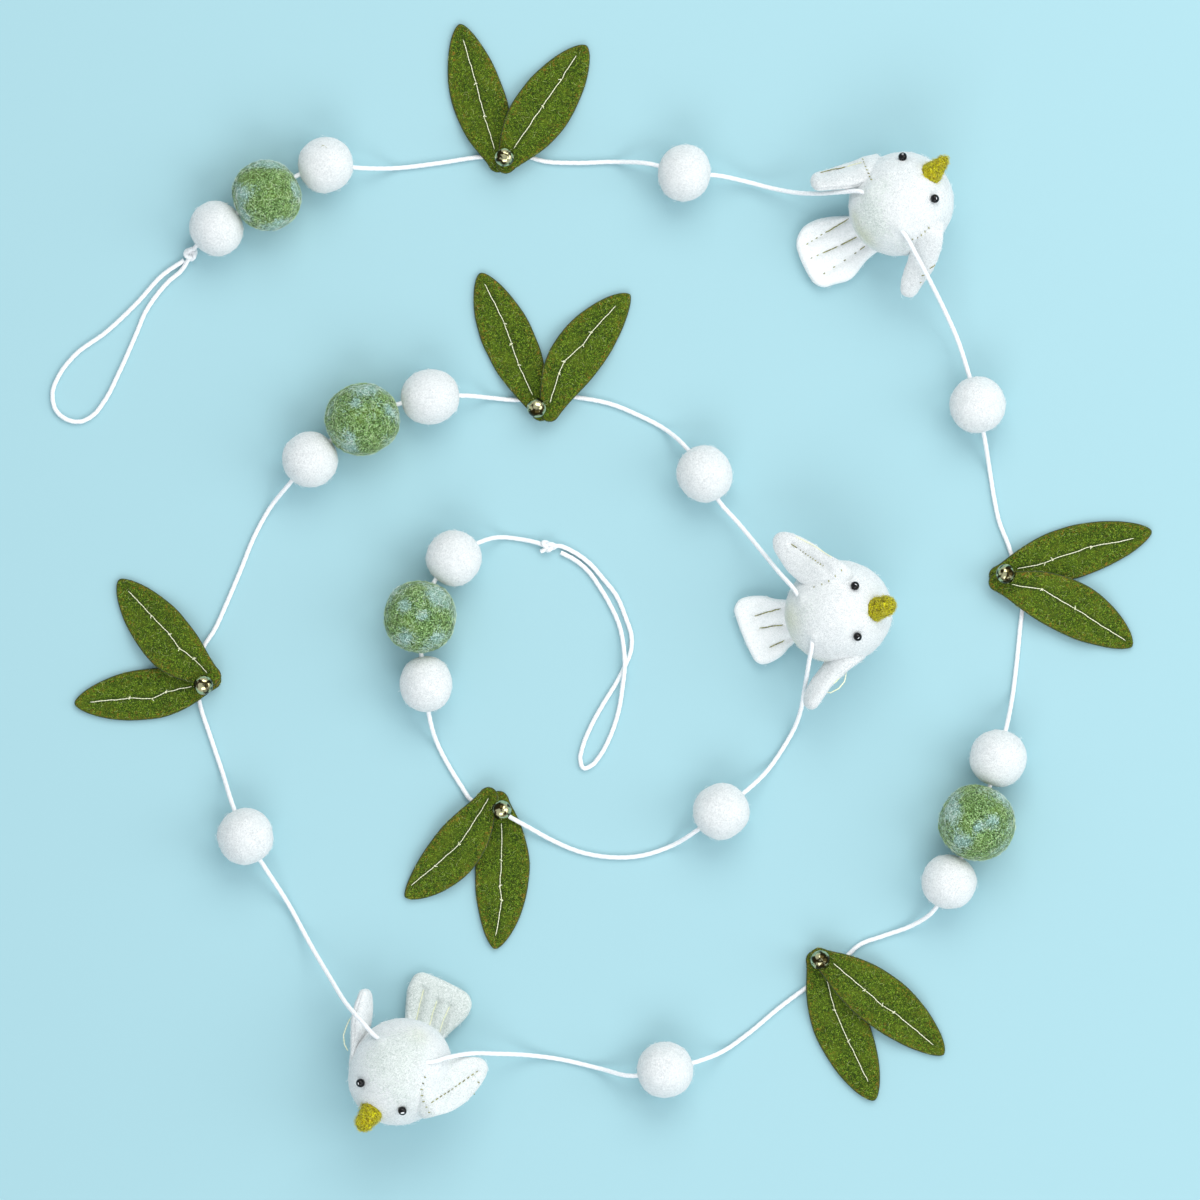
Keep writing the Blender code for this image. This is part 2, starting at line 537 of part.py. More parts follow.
def build_tails(parts, seats):
    """Stuffed felt tails: a loft of lobed sections that widens to a rounded end."""
    for node, body, x, y, tip_x, tip_y, root_width, tip_width in TAILS:
        start, end = Vector((x, y, 0.0)), Vector((tip_x, tip_y, 0.0))
        along = (end - start).normalized()
        level = Vector((-along.y, along.x, 0.0))
        shape = bmesh.new()
        rings = []
        for share, rounding, fullness in TAIL_SECTIONS:
            widening = root_width + (tip_width - root_width) * math.sin(share * math.pi / 2)
            lift = TAIL_ROOT_LIFT * max(0.0, 1.0 - share / TAIL_REST_SHARE) ** 2
            section = tail_section(widening * rounding / 2, TAIL_THICKNESS * fullness,
                                   TAIL_CHANNEL_DEPTH * share * fullness, lift)
            ring = []
            for across, height in section:
                drawn_back = TAIL_END_ARC * share * (2.0 * across / tip_width) ** 2
                place = start.lerp(end, share - drawn_back) + level * across
                place.z = height
                ring.append(shape.verts.new(place * MM))
            rings.append(ring)
        for ring, after in zip(rings, rings[1:]):
            for i in range(len(ring)):
                j = (i + 1) % len(ring)
                shape.faces.new((ring[i], after[i], after[j], ring[j]))
        shape.faces.new(rings[0])
        shape.faces.new(reversed(rings[-1]))
        take_away(mesh_object(node, shape, parts, "white_felt"), seats[body])


def smooth_step(start, end, value):
    """0 before start, 1 after end, and an even change between them."""
    share = min(1.0, max(0.0, (value - start) / (end - start)))
    return share * share * (3.0 - 2.0 * share)


def leaf_half_width(share, width):
    """Half the width of a leaf at a share of its length: a full base and a round tip."""
    first, last = LEAF_ENDS
    if share < 0.5:
        rounded = math.sin(math.pi * max(share, first)) ** LEAF_BASE_FULLNESS
    else:
        rounded = (1.0 - (min(share, last) * 2.0 - 1.0) ** 2) ** LEAF_TIP_FULLNESS
    return width / 2 * rounded


def leaf_height(distance, base_height, ledge_height, ledge_end):
    """Height of a leaf's underside at a distance from its base."""
    fall = LEAF_BASE_STEPS["upper" if ledge_end else "lower"]
    off_cord = smooth_step(*fall, distance)
    off_partner = smooth_step(ledge_end, ledge_end + LEAF_TIP_FALL, distance) if ledge_end else 0.0
    return base_height + (ledge_height - base_height) * off_cord - ledge_height * off_partner


def build_leaves(parts):
    """Leaves cut from felt: a sheet over the cord and its partner, then down to the surface."""
    for node, x, y, tip_x, tip_y, width, bow, *heights in LEAVES:
        base, tip = Vector((x, y, 0.0)), Vector((tip_x, tip_y, 0.0))
        along = (tip - base).normalized()
        left = Vector((-along.y, along.x, 0.0))
        length = (tip - base).length
        shape = bmesh.new()
        rows = []
        for share in LEAF_STATIONS:
            middle = base.lerp(tip, share) + left * (bow * math.sin(math.pi * share))
            middle.z = leaf_height(share * length, *heights)
            edge = left * leaf_half_width(share, width)
            rows.append([shape.verts.new(point * MM) for point in (middle + edge, middle - edge)])
        for row, after in zip(rows, rows[1:]):
            shape.faces.new((row[0], row[1], after[1], after[0]))
        leaf = mesh_object(node, shape, parts, "green_felt")
        felt = leaf.modifiers.new("felt", "SOLIDIFY")
        felt.thickness = FELT_THICKNESS * MM
        felt.offset = 1.0
        felt.use_even_offset = True


def build_beads(parts):
    """Round beads sewn on top of the leaf bases."""
    base_heights = {row[0]: row[7] for row in LEAVES}
    for node, x, y, leaf, settled in BEADS:
        shape = bmesh.new()
        bmesh.ops.create_uvsphere(shape, u_segments=BEAD_SEGMENTS, v_segments=BEAD_RINGS,
                                  radius=BEAD_RADIUS)
        seat = base_heights[leaf] + FELT_THICKNESS + GAP - settled
        mesh_object(node, placed(shape, x, y, seat + BEAD_RADIUS), parts, "brass")


def main():
    """Build the garland."""
    clear_scene()
    parts = new_collection("felt_bird_garland")
    cutters = new_collection("cutters")
    channel = build_cord(parts, cutters)
    build_balls(parts, channel)
    build_knots(parts, channel)
    seats = build_bodies(parts, cutters, channel)
    build_eyes(parts, seats)
    build_beaks(parts, seats)
    build_wings(parts, seats)
    build_tails(parts, seats)
    build_leaves(parts)
    build_beads(parts)


main()
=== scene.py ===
"""Looks of the felt bird garland: wool balls, felt leaves and felted birds on one white cord.

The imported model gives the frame. Each piece here replaces one of its solids, at the same place,
or is sewing and loose wool on it. Tables are in millimetres and MM turns them into metres.
"""

import logging
from collections.abc import Iterable, Mapping, Sequence
from dataclasses import dataclass, field
from enum import Enum
from math import asin, atan2, ceil, cos, exp, hypot, pi, radians, sin, sqrt

import bmesh
import bpy
from bpy.types import Mesh, Node, NodeSocket, NodeTree, Object
from mathutils import Matrix, Vector, noise
from mathutils.bvhtree import BVHTree


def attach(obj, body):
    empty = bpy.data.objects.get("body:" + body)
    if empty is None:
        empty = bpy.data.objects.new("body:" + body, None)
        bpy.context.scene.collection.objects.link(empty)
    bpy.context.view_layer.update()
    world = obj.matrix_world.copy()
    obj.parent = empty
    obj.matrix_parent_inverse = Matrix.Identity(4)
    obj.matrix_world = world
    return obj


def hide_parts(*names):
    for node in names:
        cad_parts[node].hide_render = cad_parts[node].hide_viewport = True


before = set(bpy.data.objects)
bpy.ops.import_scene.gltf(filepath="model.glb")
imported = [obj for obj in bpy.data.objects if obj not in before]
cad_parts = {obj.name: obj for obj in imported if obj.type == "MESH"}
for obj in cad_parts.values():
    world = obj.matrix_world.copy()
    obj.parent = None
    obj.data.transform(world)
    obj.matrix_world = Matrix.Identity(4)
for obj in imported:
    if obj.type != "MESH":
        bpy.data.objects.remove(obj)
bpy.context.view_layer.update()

LOG = logging.getLogger("garland")
MM = 0.001

Colour = tuple[int, int, int]
Place2 = tuple[float, float]
Place3 = tuple[float, float, float]
Run2 = tuple[Place2, Place2]

# Sizes that several pieces share, millimetres
CORD_DIAMETER = 1.8
CORD_REST = 0.95
FELT_THICKNESS = 2.0
BEAD_SEAT_GAP = 0.35
BALL_FLAT = cos(radians(18.0))   # how far down a ball's flat spot lies, share of its radius
BODY_FLAT = cos(radians(15.0))
KNOT_FLAT = cos(radians(22.5))
SHARP_EDGE = radians(55.0)       # where a cut edge is shaded sharp
UP = Vector((0.0, 0.0, 1.0))

# Twists of plied yarn, radians a metre
CORD_TWIST = 650.0
THREAD_TWIST = 2600.0
CHAFF_TWIST = 500.0


class Slot(Enum):
    """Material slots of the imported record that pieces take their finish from."""

    WHITE_FELT = "white_felt"
    MARBLED_FELT = "marbled_green_felt"
    GREEN_FELT = "green_felt"
    MUSTARD_FELT = "mustard_felt"
    WHITE_CORD = "white_cord"
    GOLD_THREAD = "gold_thread"
    BRASS = "brass"
    BLACK_BEAD = "black_bead"


class Layer(Enum):
    """Where a leaf lies in its pair: under its partner or over it."""

    LOWER = "lower"
    UPPER = "upper"


# Small helpers


def linear(colour: Colour) -> tuple[float, float, float, float]:
    """Turn a screen colour into the renderer's linear one.

    Args:
        colour: red, green and blue from 0 to 255.

    Returns:
        The linear colour with full alpha.
    """
    shares = [value / 255 for value in colour]
    return (*(s / 12.92 if s <= 0.04045 else ((s + 0.055) / 1.055) ** 2.4 for s in shares), 1.0)


def smooth_step(start: float, end: float, value: float) -> float:
    """An even change from 0 before start to 1 after end."""
    share = min(1.0, max(0.0, (value - start) / (end - start)))
    return share * share * (3.0 - 2.0 * share)


def lump(place: Vector, size: float, seed: float) -> float:
    """Slow noise from about 0 to 1.

    Args:
        place: point in millimetres.
        size: width of one lump in millimetres.
        seed: moves the pattern, so that pieces differ.

    Returns:
        The noise at the place.
    """
    return 0.5 + 0.5 * noise.noise(place / size + Vector((seed, 1.7 * seed, 2.3 * seed)))


def read_table(places: Sequence[float], values: Sequence[float], place: float) -> float:
    """A smooth reading between the entries of a table.

    Args:
        places: where the entries stand, in rising order.
        values: the entries.
        place: where it is read.

    Returns:
        The value there, at either end the last entry.
    """
    last = len(places) - 1
    place = min(max(place, places[0]), places[-1])
    i = next(k for k in range(last) if place <= places[k + 1])
    slopes = []
    for k in (i, i + 1):
        a, b = max(k - 1, 0), min(k + 1, last)
        slopes.append((values[b] - values[a]) / (places[b] - places[a]))
    step = places[i + 1] - places[i]
    a = (place - places[i]) / step
    b = 1.0 - a
    return (values[i] * b * b * (1 + 2 * a) + values[i + 1] * a * a * (1 + 2 * b)
            + step * (slopes[0] * a * b * b - slopes[1] * a * a * b))


def dent(place: Vector, runs: Sequence[Run2], depth: float, width: float) -> float:
    """How deep sewn lines press a surface at a place, seen from above.

    Args:
        place: the place in millimetres.
        runs: the start and end of each line.
        depth: how deep the middle of a line lies.
        width: how far to each side it reaches.

    Returns:
        The depth at the place.
    """
    here = Vector((place.x, place.y))
    deepest = 0.0
    for start, end in runs:
        run = Vector(end) - Vector(start)
        share = min(1.0, max(0.0, (here - Vector(start)).dot(run) / run.length_squared))
        off = (here - Vector(start) - run * share).length
        deepest = max(deepest, depth * exp(-(off / width) ** 2))
    return deepest


def mesh_of(name: str, points: Sequence[Vector], faces: Sequence[Sequence[int]]) -> Mesh:
    """A smooth mesh with its faces turned outwards.

    Args:
        name: the mesh's name.
        points: its points in millimetres.
        faces: its faces as indices of the points.

    Returns:
        The mesh, in metres.
    """
    mesh = bpy.data.meshes.new(name)
    mesh.from_pydata([point * MM for point in points], [], faces)
    shape = bmesh.new()
    shape.from_mesh(mesh)
    if shape.calc_volume(signed=True) < 0.0:
        bmesh.ops.reverse_faces(shape, faces=shape.faces)
    shape.to_mesh(mesh)
    shape.free()
    mesh.shade_smooth()
    return mesh


def round_shell(sides: int, rings: int) -> tuple[list[Vector], list[list[int]]]:
    """A round shell of radius 1, its points and faces always in the same order.

    Blender's own has the same points and faces each time, but their order changes.

    Args:
        sides: how many faces go round it.
        rings: how many faces lie between its poles.

    Returns:
        Its points, and its faces as indices of the points.
    """
    shape = bmesh.new()
    bmesh.ops.create_uvsphere(shape, u_segments=sides, v_segments=rings, radius=1.0)
    verts = sorted(shape.verts, key=lambda vert: (round(vert.co.z, 4),
                                                  round(atan2(vert.co.y, vert.co.x), 4)))
    for number, vert in enumerate(verts):
        vert.index = number
    faces = []
    for face in shape.faces:
        around = [vert.index for vert in face.verts]
        # A quad turns by none or two corners, so that it keeps its diagonal
        first = around.index(min(around[::2] if len(around) == 4 else around))
        faces.append(around[first:] + around[:first])
    points = [vert.co.copy() for vert in verts]
    shape.free()
    return points, sorted(faces)


def loft(name: str, rings: Sequence[Sequence[Vector]]) -> Mesh:
    """A closed mesh through rings of equal count, each end closed by a fan to its middle.

    Args:
        name: the mesh's name.
        rings: the rings' points in millimetres.

    Returns:
        The closed mesh.
    """
    count = len(rings[0])
    points = [point for ring in rings for point in ring]
    faces = []
    for row in range(len(rings) - 1):
        for i in range(count):
            j = (i + 1) % count
            faces.append((row * count + i, row * count + j,
                          (row + 1) * count + j, (row + 1) * count + i))
    for first, turned in ((0, True), ((len(rings) - 1) * count, False)):
        ring = points[first:first + count]
        hub = len(points)
        points.append(sum(ring, Vector()) / count)
        for i in range(count):
            edge = (first + i, first + (i + 1) % count)
            faces.append((hub, *(reversed(edge) if turned else edge)))
    return mesh_of(name, points, faces)


def turned(name: str, profile: Sequence[Place2], sides: int, middle: Vector, axis: Vector) -> Mesh:
    """A ring-like turned shape from a closed profile.

    Args:
        name: the mesh's name.
        profile: radius and height of each point, in order round the closed profile.
        sides: how many copies of the profile stand round the axis.
        middle: where height 0 is, in millimetres.
        axis: direction of the axis.

    Returns:
        The closed mesh.
    """
    turn = axis.to_track_quat("Z", "Y").to_matrix()
    points, faces = [], []
    count = len(profile)
    for side in range(sides):
        angle = 2.0 * pi * side / sides
        for radius, height in profile:
            local = Vector((radius * cos(angle), radius * sin(angle), height))
            points.append(middle + turn @ local)
        after = (side + 1) % sides
        for i in range(count):
            j = (i + 1) % count
            faces.append((side * count + i, side * count + j, after * count + j, after * count + i))
    return mesh_of(name, points, faces)


def swept(name: str, path: Sequence[Vector], radius: float, sides: int = 16) -> Mesh:
    """A round tube along a path.

    Args:
        name: the mesh's name.
        path: points of its middle line in millimetres.
        radius: its radius in millimetres.
        sides: how many sides it has.

    Returns:
        The closed tube.
    """
    across = (path[1] - path[0]).orthogonal().normalized()
    rings = []
    for i, point in enumerate(path):
        along = (path[min(i + 1, len(path) - 1)] - path[max(i - 1, 0)]).normalized()
        across = (across - along * across.dot(along)).normalized()
        beside = along.cross(across)
        angles = [2.0 * pi * k / sides for k in range(sides)]
        rings.append([point + (across * cos(a) + beside * sin(a)) * radius
                      for a in angles])
    return loft(name, rings)


def linked(name: str, data: bpy.types.ID) -> Object:
    """An object in the scene.

    Args:
        name: its name.
        data: its mesh, light or camera.

    Returns:
        The object.
    """
    made = bpy.data.objects.new(name, data)
    bpy.context.scene.collection.objects.link(made)
    return made


def evaluated_mesh(made: Object) -> Mesh:
    """The mesh that an object's modifiers give.

    Args:
        made: the object.

    Returns:
        The new mesh, with its attributes.
    """
    depsgraph = bpy.context.evaluated_depsgraph_get()
    return bpy.data.meshes.new_from_object(
        made.evaluated_get(depsgraph), preserve_all_data_layers=True, depsgraph=depsgraph)


def cut_away(made: Object, cutter: Object) -> None:
    """Take a closed shape out of an object's mesh, for good.

    Args:
        made: the object that is cut.
        cutter: the object whose shape is taken away.
    """
    cut = made.modifiers.new("cut", "BOOLEAN")
    cut.operation = "DIFFERENCE"
    cut.solver = "EXACT"
    cut.object = cutter
    before = made.data
    made.data = evaluated_mesh(made)
    made.modifiers.clear()
    bpy.data.meshes.remove(before)
    made.data.set_sharp_from_angle(angle=SHARP_EDGE)


def joined(name: str, meshes: Sequence[Mesh]) -> Mesh:
    """One mesh that holds the shapes of several, their attributes kept.

    Args:
        name: the new mesh's name.
        meshes: the meshes to put together.

    Returns:
        The joined mesh.
    """
    shape = bmesh.new()
    for mesh in meshes:
        shape.from_mesh(mesh)
    together = bpy.data.meshes.new(name)
    shape.to_mesh(together)
    shape.free()
    return together


def store_field(mesh: Mesh, name: str, values: Iterable[float]) -> None:
    """Keep one number for each point of a mesh.

    Args:
        mesh: the mesh.
        name: the attribute's name.
        values: a number for each point.
    """
    layer = mesh.attributes.new(name, "FLOAT", "POINT")
    layer.data.foreach_set("value", list(values))


def dress(made: Object, finish: "Finish", nodes: Sequence[str] = ()) -> Object:
    """Give a piece its finish, its body and the solids that it stands for.

    Args:
        made: the piece.
        finish: what it is made of.
        nodes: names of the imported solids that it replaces.

    Returns:
        The piece.
    """
    made.data.materials.clear()
    made.data.materials.append(finish.material())
    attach(made, "root")
    if nodes:
        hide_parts(*nodes)
    LOG.info("%s: %d faces", made.name, len(made.data.polygons))
    return made


# Node trees


OTHER_SOCKETS = {"Seed": "NodeSocketInt", "Finish": "NodeSocketMaterial"}
STITCH_SWAY = 0.16      # how far a stitch's slant differs, radians


class NodeWork:
    """Builds one node tree: adds nodes, sets their sockets and joins them."""

    def __init__(self, tree: NodeTree) -> None:
        """Start on a tree."""
        self.tree = tree

    @classmethod
    def geometry(cls, name: str, *labels: str) -> "NodeWork":
        """Start a Geometry Nodes tree.

        Args:
            name: the tree's name.
            labels: its inputs between the geometry and the finish.

        Returns:
            The work on the new tree.
        """
        tree = bpy.data.node_groups.new(name, "GeometryNodeTree")
        tree.interface.new_socket("Geometry", in_out="INPUT", socket_type="NodeSocketGeometry")
        tree.interface.new_socket("Geometry", in_out="OUTPUT", socket_type="NodeSocketGeometry")
        for label in (*labels, "Finish"):
            tree.interface.new_socket(label, in_out="INPUT",
                                      socket_type=OTHER_SOCKETS.get(label, "NodeSocketFloat"))
        work = cls(tree)
        work.given = work.add("NodeGroupInput").outputs
        return work

    def add(self, kind: str, inputs: Mapping[str | int, object] | None = None,
            **settings: object) -> Node:
        """Add a node.

        Args:
            kind: the node's type.
            inputs: what goes into its sockets, by name or number: a socket or a value.
            settings: values of the node's own properties.

        Returns:
            The node.
        """
        made = self.tree.nodes.new(kind)
        for setting, value in settings.items():
            setattr(made, setting, value)
        self.feed(made, inputs or {})
        return made

    def feed(self, node: Node, inputs: Mapping[str | int, object]) -> None:
        """Fill a node's sockets.

        Args:
            node: the node.
            inputs: what goes into its sockets, by name or number: a socket or a value.
        """
        for key, value in inputs.items():
            if isinstance(value, NodeSocket):
                self.tree.links.new(value, node.inputs[key])
            else:
                node.inputs[key].default_value = value

    def place(self) -> NodeSocket:
        """The place on a piece, in a shader's Object coordinates."""
        return self.add("ShaderNodeTexCoord").outputs["Object"]

    def stored(self, name: str) -> NodeSocket:
        """The number that a piece keeps for each point, in a shader."""
        return self.add("ShaderNodeAttribute", attribute_name=name).outputs["Fac"]

    def bump(self, height: object, strength: float, relief: float) -> NodeSocket:
        """A shader's normal over a height pattern, its relief in millimetres."""
        return self.add("ShaderNodeBump", {"Strength": strength, "Distance": relief * MM,
                                           "Height": height}).outputs[0]

    def circle(self, points: int, radius: object) -> NodeSocket:
        """A round curve of a few points, in a geometry tree."""
        return self.add("GeometryNodeCurvePrimitiveCircle", {"Resolution": points, "Radius": radius},
                        mode="RADIUS").outputs[0]

    def offset(self, x: object = 0.0, y: object = 0.0, z: object = 0.0) -> NodeSocket:
        """A vector of three values or sockets."""
        return self.add("ShaderNodeCombineXYZ", {0: x, 1: y, 2: z}).outputs[0]

    def arch(self, points: int, start: object, middle: object, end: object) -> NodeSocket:
        """A bent line of a few points, in a geometry tree."""
        return self.add("GeometryNodeCurveQuadraticBezier", {"Resolution": points, "Start": start,
                                                             "Middle": middle, "End": end}).outputs[0]

    def tube(self, line: object, ring: object, scale: object) -> NodeSocket:
        """A tube along a line, closed at both ends, in a geometry tree."""
        return self.add("GeometryNodeCurveToMesh", {"Curve": line, "Profile Curve": ring,
                                                    "Scale": scale, "Fill Caps": True}).outputs[0]

    def chance(self, least: float, most: float) -> NodeSocket:
        """A random number for each point, by the geometry tree's seed."""
        return self.add("FunctionNodeRandomValue", {2: least, 3: most, "Seed": self.given["Seed"]},
                        data_type="FLOAT").outputs[1]

    def chances(self, least: Place3, most: Place3) -> NodeSocket:
        """Three random numbers for each point, by the geometry tree's seed."""
        return self.add("FunctionNodeRandomValue", {0: least, 1: most, "Seed": self.given["Seed"]},
                        data_type="FLOAT_VECTOR").outputs[0]

    def spin(self, angles: object) -> NodeSocket:
        """A rotation by three angles, in a geometry tree."""
        return self.add("FunctionNodeEulerToRotation", {0: angles}).outputs[0]

    def spun(self, rotation: object, angles: object) -> NodeSocket:
        """A rotation turned on by three angles about its own axes, in a geometry tree."""
        return self.add("FunctionNodeRotateRotation", {0: rotation, 1: self.spin(angles)},
                        rotation_space="LOCAL").outputs[0]

    def sum(self, operation: str, *values: object) -> NodeSocket:
        """The result of a Math node for one to three values or sockets."""
        return self.add("ShaderNodeMath", dict(enumerate(values)), operation=operation).outputs[0]

    def step(self, value: object, start: float, end: float) -> NodeSocket:
        """A smooth change from 0 at start to 1 at end, in a shader or a geometry tree."""
        return self.add("ShaderNodeMapRange", {0: value, 1: start, 2: end, 3: 0.0, 4: 1.0},
                        interpolation_type="SMOOTHSTEP").outputs[0]

    def blend(self, share: object, first: object, second: object, kind: str = "MIX") -> NodeSocket:
        """Mix two colours by a share of the second."""
        return self.add("ShaderNodeMix", {0: share, 6: first, 7: second},
                        data_type="RGBA", blend_type=kind).outputs[2]

    def ramp(self, share: object, tones: Sequence[Colour], stops: Sequence[float]) -> NodeSocket:
        """Colours along a ramp.

        Args:
            share: where on the ramp, from 0 to 1.
            tones: the colours.
            stops: where each colour stands.

        Returns:
            The ramp's colour.
        """
        made = self.add("ShaderNodeValToRGB", {0: share})
        band = made.color_ramp.elements
        while len(band) < len(tones):
            band.new(0.5)
        for element, tone, stop in zip(band, tones, stops):
            element.position = stop
            element.color = linear(tone)
        return made.outputs[0]

    def pattern(self, place: object, size: float, detail: float = 3.0, curl: float = 0.0,
                roughness: float = 0.5, kind: str = "FBM") -> NodeSocket:
        """A noise pattern.

        Args:
            place: where it is read.
            size: width of its features in millimetres.
            detail: how many finer layers it has.
            curl: how much it is bent round itself.
            roughness: strength of the finer layers.
            kind: the kind of noise.

        Returns:
            The noise's value.
        """
        return self.add("ShaderNodeTexNoise",
                        {"Vector": place, "Scale": 1.0 / (size * MM), "Detail": detail,
                         "Roughness": roughness, "Distortion": curl},
                        noise_type=kind).outputs[0]

    def ending(self, geometry: NodeSocket) -> NodeTree:
        """Realize the instances, set the material and close a Geometry Nodes tree.

        Args:
            geometry: what the tree has made.

        Returns:
            The finished tree.
        """
        real = self.add("GeometryNodeRealizeInstances", {0: geometry}).outputs[0]
        smooth = self.add("GeometryNodeSetShadeSmooth", {"Geometry": real}).outputs[0]
        dressed = self.add("GeometryNodeSetMaterial",
                           {"Geometry": smooth, "Material": self.given["Finish"]}).outputs[0]
        self.add("NodeGroupOutput", {0: dressed})
        return self.tree


class Workshop:
    """The Geometry Nodes trees for what repeats or follows a path or a surface."""

    def __init__(self) -> None:
        """Build every tree once."""
        self.fibres = self._fibre_tree()
        self.cord = self._cord_tree()
        self.thread = self._thread_tree()
        self.stitches = self._stitch_tree()
        self.knots = self._knot_tree()

    @staticmethod
    def grow(name: str, source: Mesh, tree: NodeTree, finish: "Finish", **sizes: float) -> Mesh:
        """Run a tree on a mesh and keep the result as a plain mesh.

        Args:
            name: the new mesh's name.
            source: the mesh that the tree works on.
            tree: the tree.
            finish: what the result is made of.
            sizes: the tree's inputs by name, with _ for a space.

        Returns:
            The plain mesh.
        """
        holder = linked(f"{name}_source", source)
        run = holder.modifiers.new(name, "NODES")
        run.node_group = tree
        given = {label.replace("_", " "): value for label, value in sizes.items()}
        given["Finish"] = finish.material()
        for item in tree.interface.items_tree:
            if item.in_out == "INPUT" and item.name in given:
                run[item.identifier] = given[item.name]
        holder.update_tag()
        grown = evaluated_mesh(holder)
        grown.name = name
        bpy.data.objects.remove(holder, do_unlink=True)
        return grown

    @staticmethod
    def _profile(work: NodeWork, radius: object, sides: int, lobes: int, depth: float) -> NodeSocket:
        """A round profile with lobes, as plies of yarn give.

        Args:
            work: the tree's builder.
            radius: the mean radius.
            sides: how many points it has.
            lobes: how many plies show.
            depth: how far a ply stands out, share of the radius.

        Returns:
            The profile curve.
        """
        ring = work.circle(sides, radius)
        place = work.add("GeometryNodeInputPosition").outputs[0]
        parts = work.add("ShaderNodeSeparateXYZ", {0: place}).outputs
        angle = work.sum("ARCTAN2", parts[1], parts[0])
        wave = work.sum("COSINE", work.sum("MULTIPLY", angle, float(lobes)))
        out = work.add("ShaderNodeVectorMath", {0: place, "Scale": work.sum("MULTIPLY", wave, depth)},
                       operation="SCALE").outputs[0]
        return work.add("GeometryNodeSetPosition", {"Geometry": ring, "Offset": out}).outputs[0]

    @staticmethod
    def _taper(work: NodeWork, least: float, sharpness: float) -> NodeSocket:
        """A scale along a curve that falls at both of its ends.

        Args:
            work: the tree's builder.
            least: the scale at the very ends.
            sharpness: the higher, the shorter the thin ends.

        Returns:
            The scale.
        """
        share = work.add("GeometryNodeSplineParameter").outputs[0]
        off = work.sum("ABSOLUTE", work.sum("MULTIPLY_ADD", share, 2.0, -1.0))
        return work.sum("MULTIPLY_ADD", work.sum("POWER", off, sharpness), least - 1.0, 1.0)

    def _spun(self, work: NodeWork, radius: object, step: float, sides: int, lobes: int,
              depth: float, scale: object) -> NodeSocket:
        """Tubes with a twist along the tree's lines.

        Args:
            work: the tree's builder.
            radius: the tube's mean radius.
            step: length of one ring of faces, in metres.
            sides: points round the tube.
            lobes: plies that show.
            depth: how far a ply stands out, share of the radius.
            scale: scale of the profile along the line.

        Returns:
            The tubes.
        """
        line = work.add("GeometryNodeMeshToCurve", {"Mesh": work.given["Geometry"]}).outputs[0]
        line = work.add("GeometryNodeResampleCurve", {"Curve": line, "Length": step},
                        mode="LENGTH").outputs[0]
        length = work.add("GeometryNodeSplineParameter").outputs[1]
        tilt = work.sum("MULTIPLY", length, work.given["Twist"])
        line = work.add("GeometryNodeSetCurveTilt", {"Curve": line, "Tilt": tilt}).outputs[0]
        profile = self._profile(work, radius, sides, lobes, depth)
        return work.tube(line, profile, scale)

    def _cord_tree(self) -> NodeTree:
        """A waxed cord of three plies along a line.

        Returns:
            The tree.
        """
        work = NodeWork.geometry("plied_cord", "Radius", "Twist")
        tubes = self._spun(work, work.given["Radius"], 0.8 * MM, 12, 3, 0.045, 1.0)
        return work.ending(tubes)

    def _thread_tree(self) -> NodeTree:
        """Two-ply metallic thread along lines, thin where each goes into the felt.

        Returns:
            The tree.
        """
        work = NodeWork.geometry("sewn_thread", "Radius", "Twist")
        tubes = self._spun(work, work.given["Radius"], 0.4 * MM, 8, 2, 0.22,
                           self._taper(work, 0.35, 10.0))
        return work.ending(tubes)

    def _stitch_tree(self) -> NodeTree:
        """A row of short stitches along lines, each an arch of thread set at a slant.

        Returns:
            The tree.
        """
        work = NodeWork.geometry("stitch_row", "Radius", "Pitch", "Stitch", "Slant", "Seed")
        given = work.given
        line = work.add("GeometryNodeMeshToCurve", {"Mesh": given["Geometry"]}).outputs[0]
        spots = work.add("GeometryNodeCurveToPoints", {"Curve": line, "Length": given["Pitch"]},
                         mode="LENGTH").outputs
        along = work.add("FunctionNodeAlignRotationToVector", {"Vector": spots["Tangent"]},
                         axis="X", pivot_axis="Z").outputs[0]
        slant = work.sum("ADD", given["Slant"], work.chance(-STITCH_SWAY, STITCH_SWAY))
        turn = work.spun(along, work.offset(z=slant))
        half = work.sum("MULTIPLY", given["Stitch"], 0.5)
        sunk = work.sum("MULTIPLY", given["Radius"], -1.4)
        crest = work.sum("MULTIPLY", given["Radius"], 2.2)
        arch = work.arch(6, work.offset(work.sum("MULTIPLY", half, -1.0), z=sunk),
                         work.offset(z=crest), work.offset(half, z=sunk))
        stitch = work.tube(arch, work.circle(6, given["Radius"]), self._taper(work, 0.4, 4.0))
        row = work.add("GeometryNodeInstanceOnPoints",
                       {"Points": spots["Points"], "Instance": stitch, "Rotation": turn,
                        "Scale": work.chance(0.8, 1.15)}).outputs[0]
        return work.ending(row)

    @staticmethod
    def _knot_tree() -> NodeTree:
        """A small loop of thread at each point, where two long stitches meet.

        Returns:
            The tree.
        """
        work = NodeWork.geometry("thread_knot", "Size", "Seed")
        given = work.given
        spots = work.add("GeometryNodeMeshToPoints", {"Mesh": given["Geometry"]}).outputs[0]
        ring = work.circle(9, given["Size"])
        strand = work.circle(6, work.sum("MULTIPLY", given["Size"], 0.5))
        loop = work.add("GeometryNodeCurveToMesh", {"Curve": ring, "Profile Curve": strand}).outputs[0]
        knots = work.add("GeometryNodeInstanceOnPoints",
                         {"Points": spots, "Instance": loop,
                          "Rotation": work.spin(work.chances((-0.5, -0.5, 0.0), (0.5, 0.5, 6.28))),
                          "Scale": work.chances((0.9, 0.6, 0.8), (1.5, 1.0, 1.1))}).outputs[0]
        return work.ending(knots)

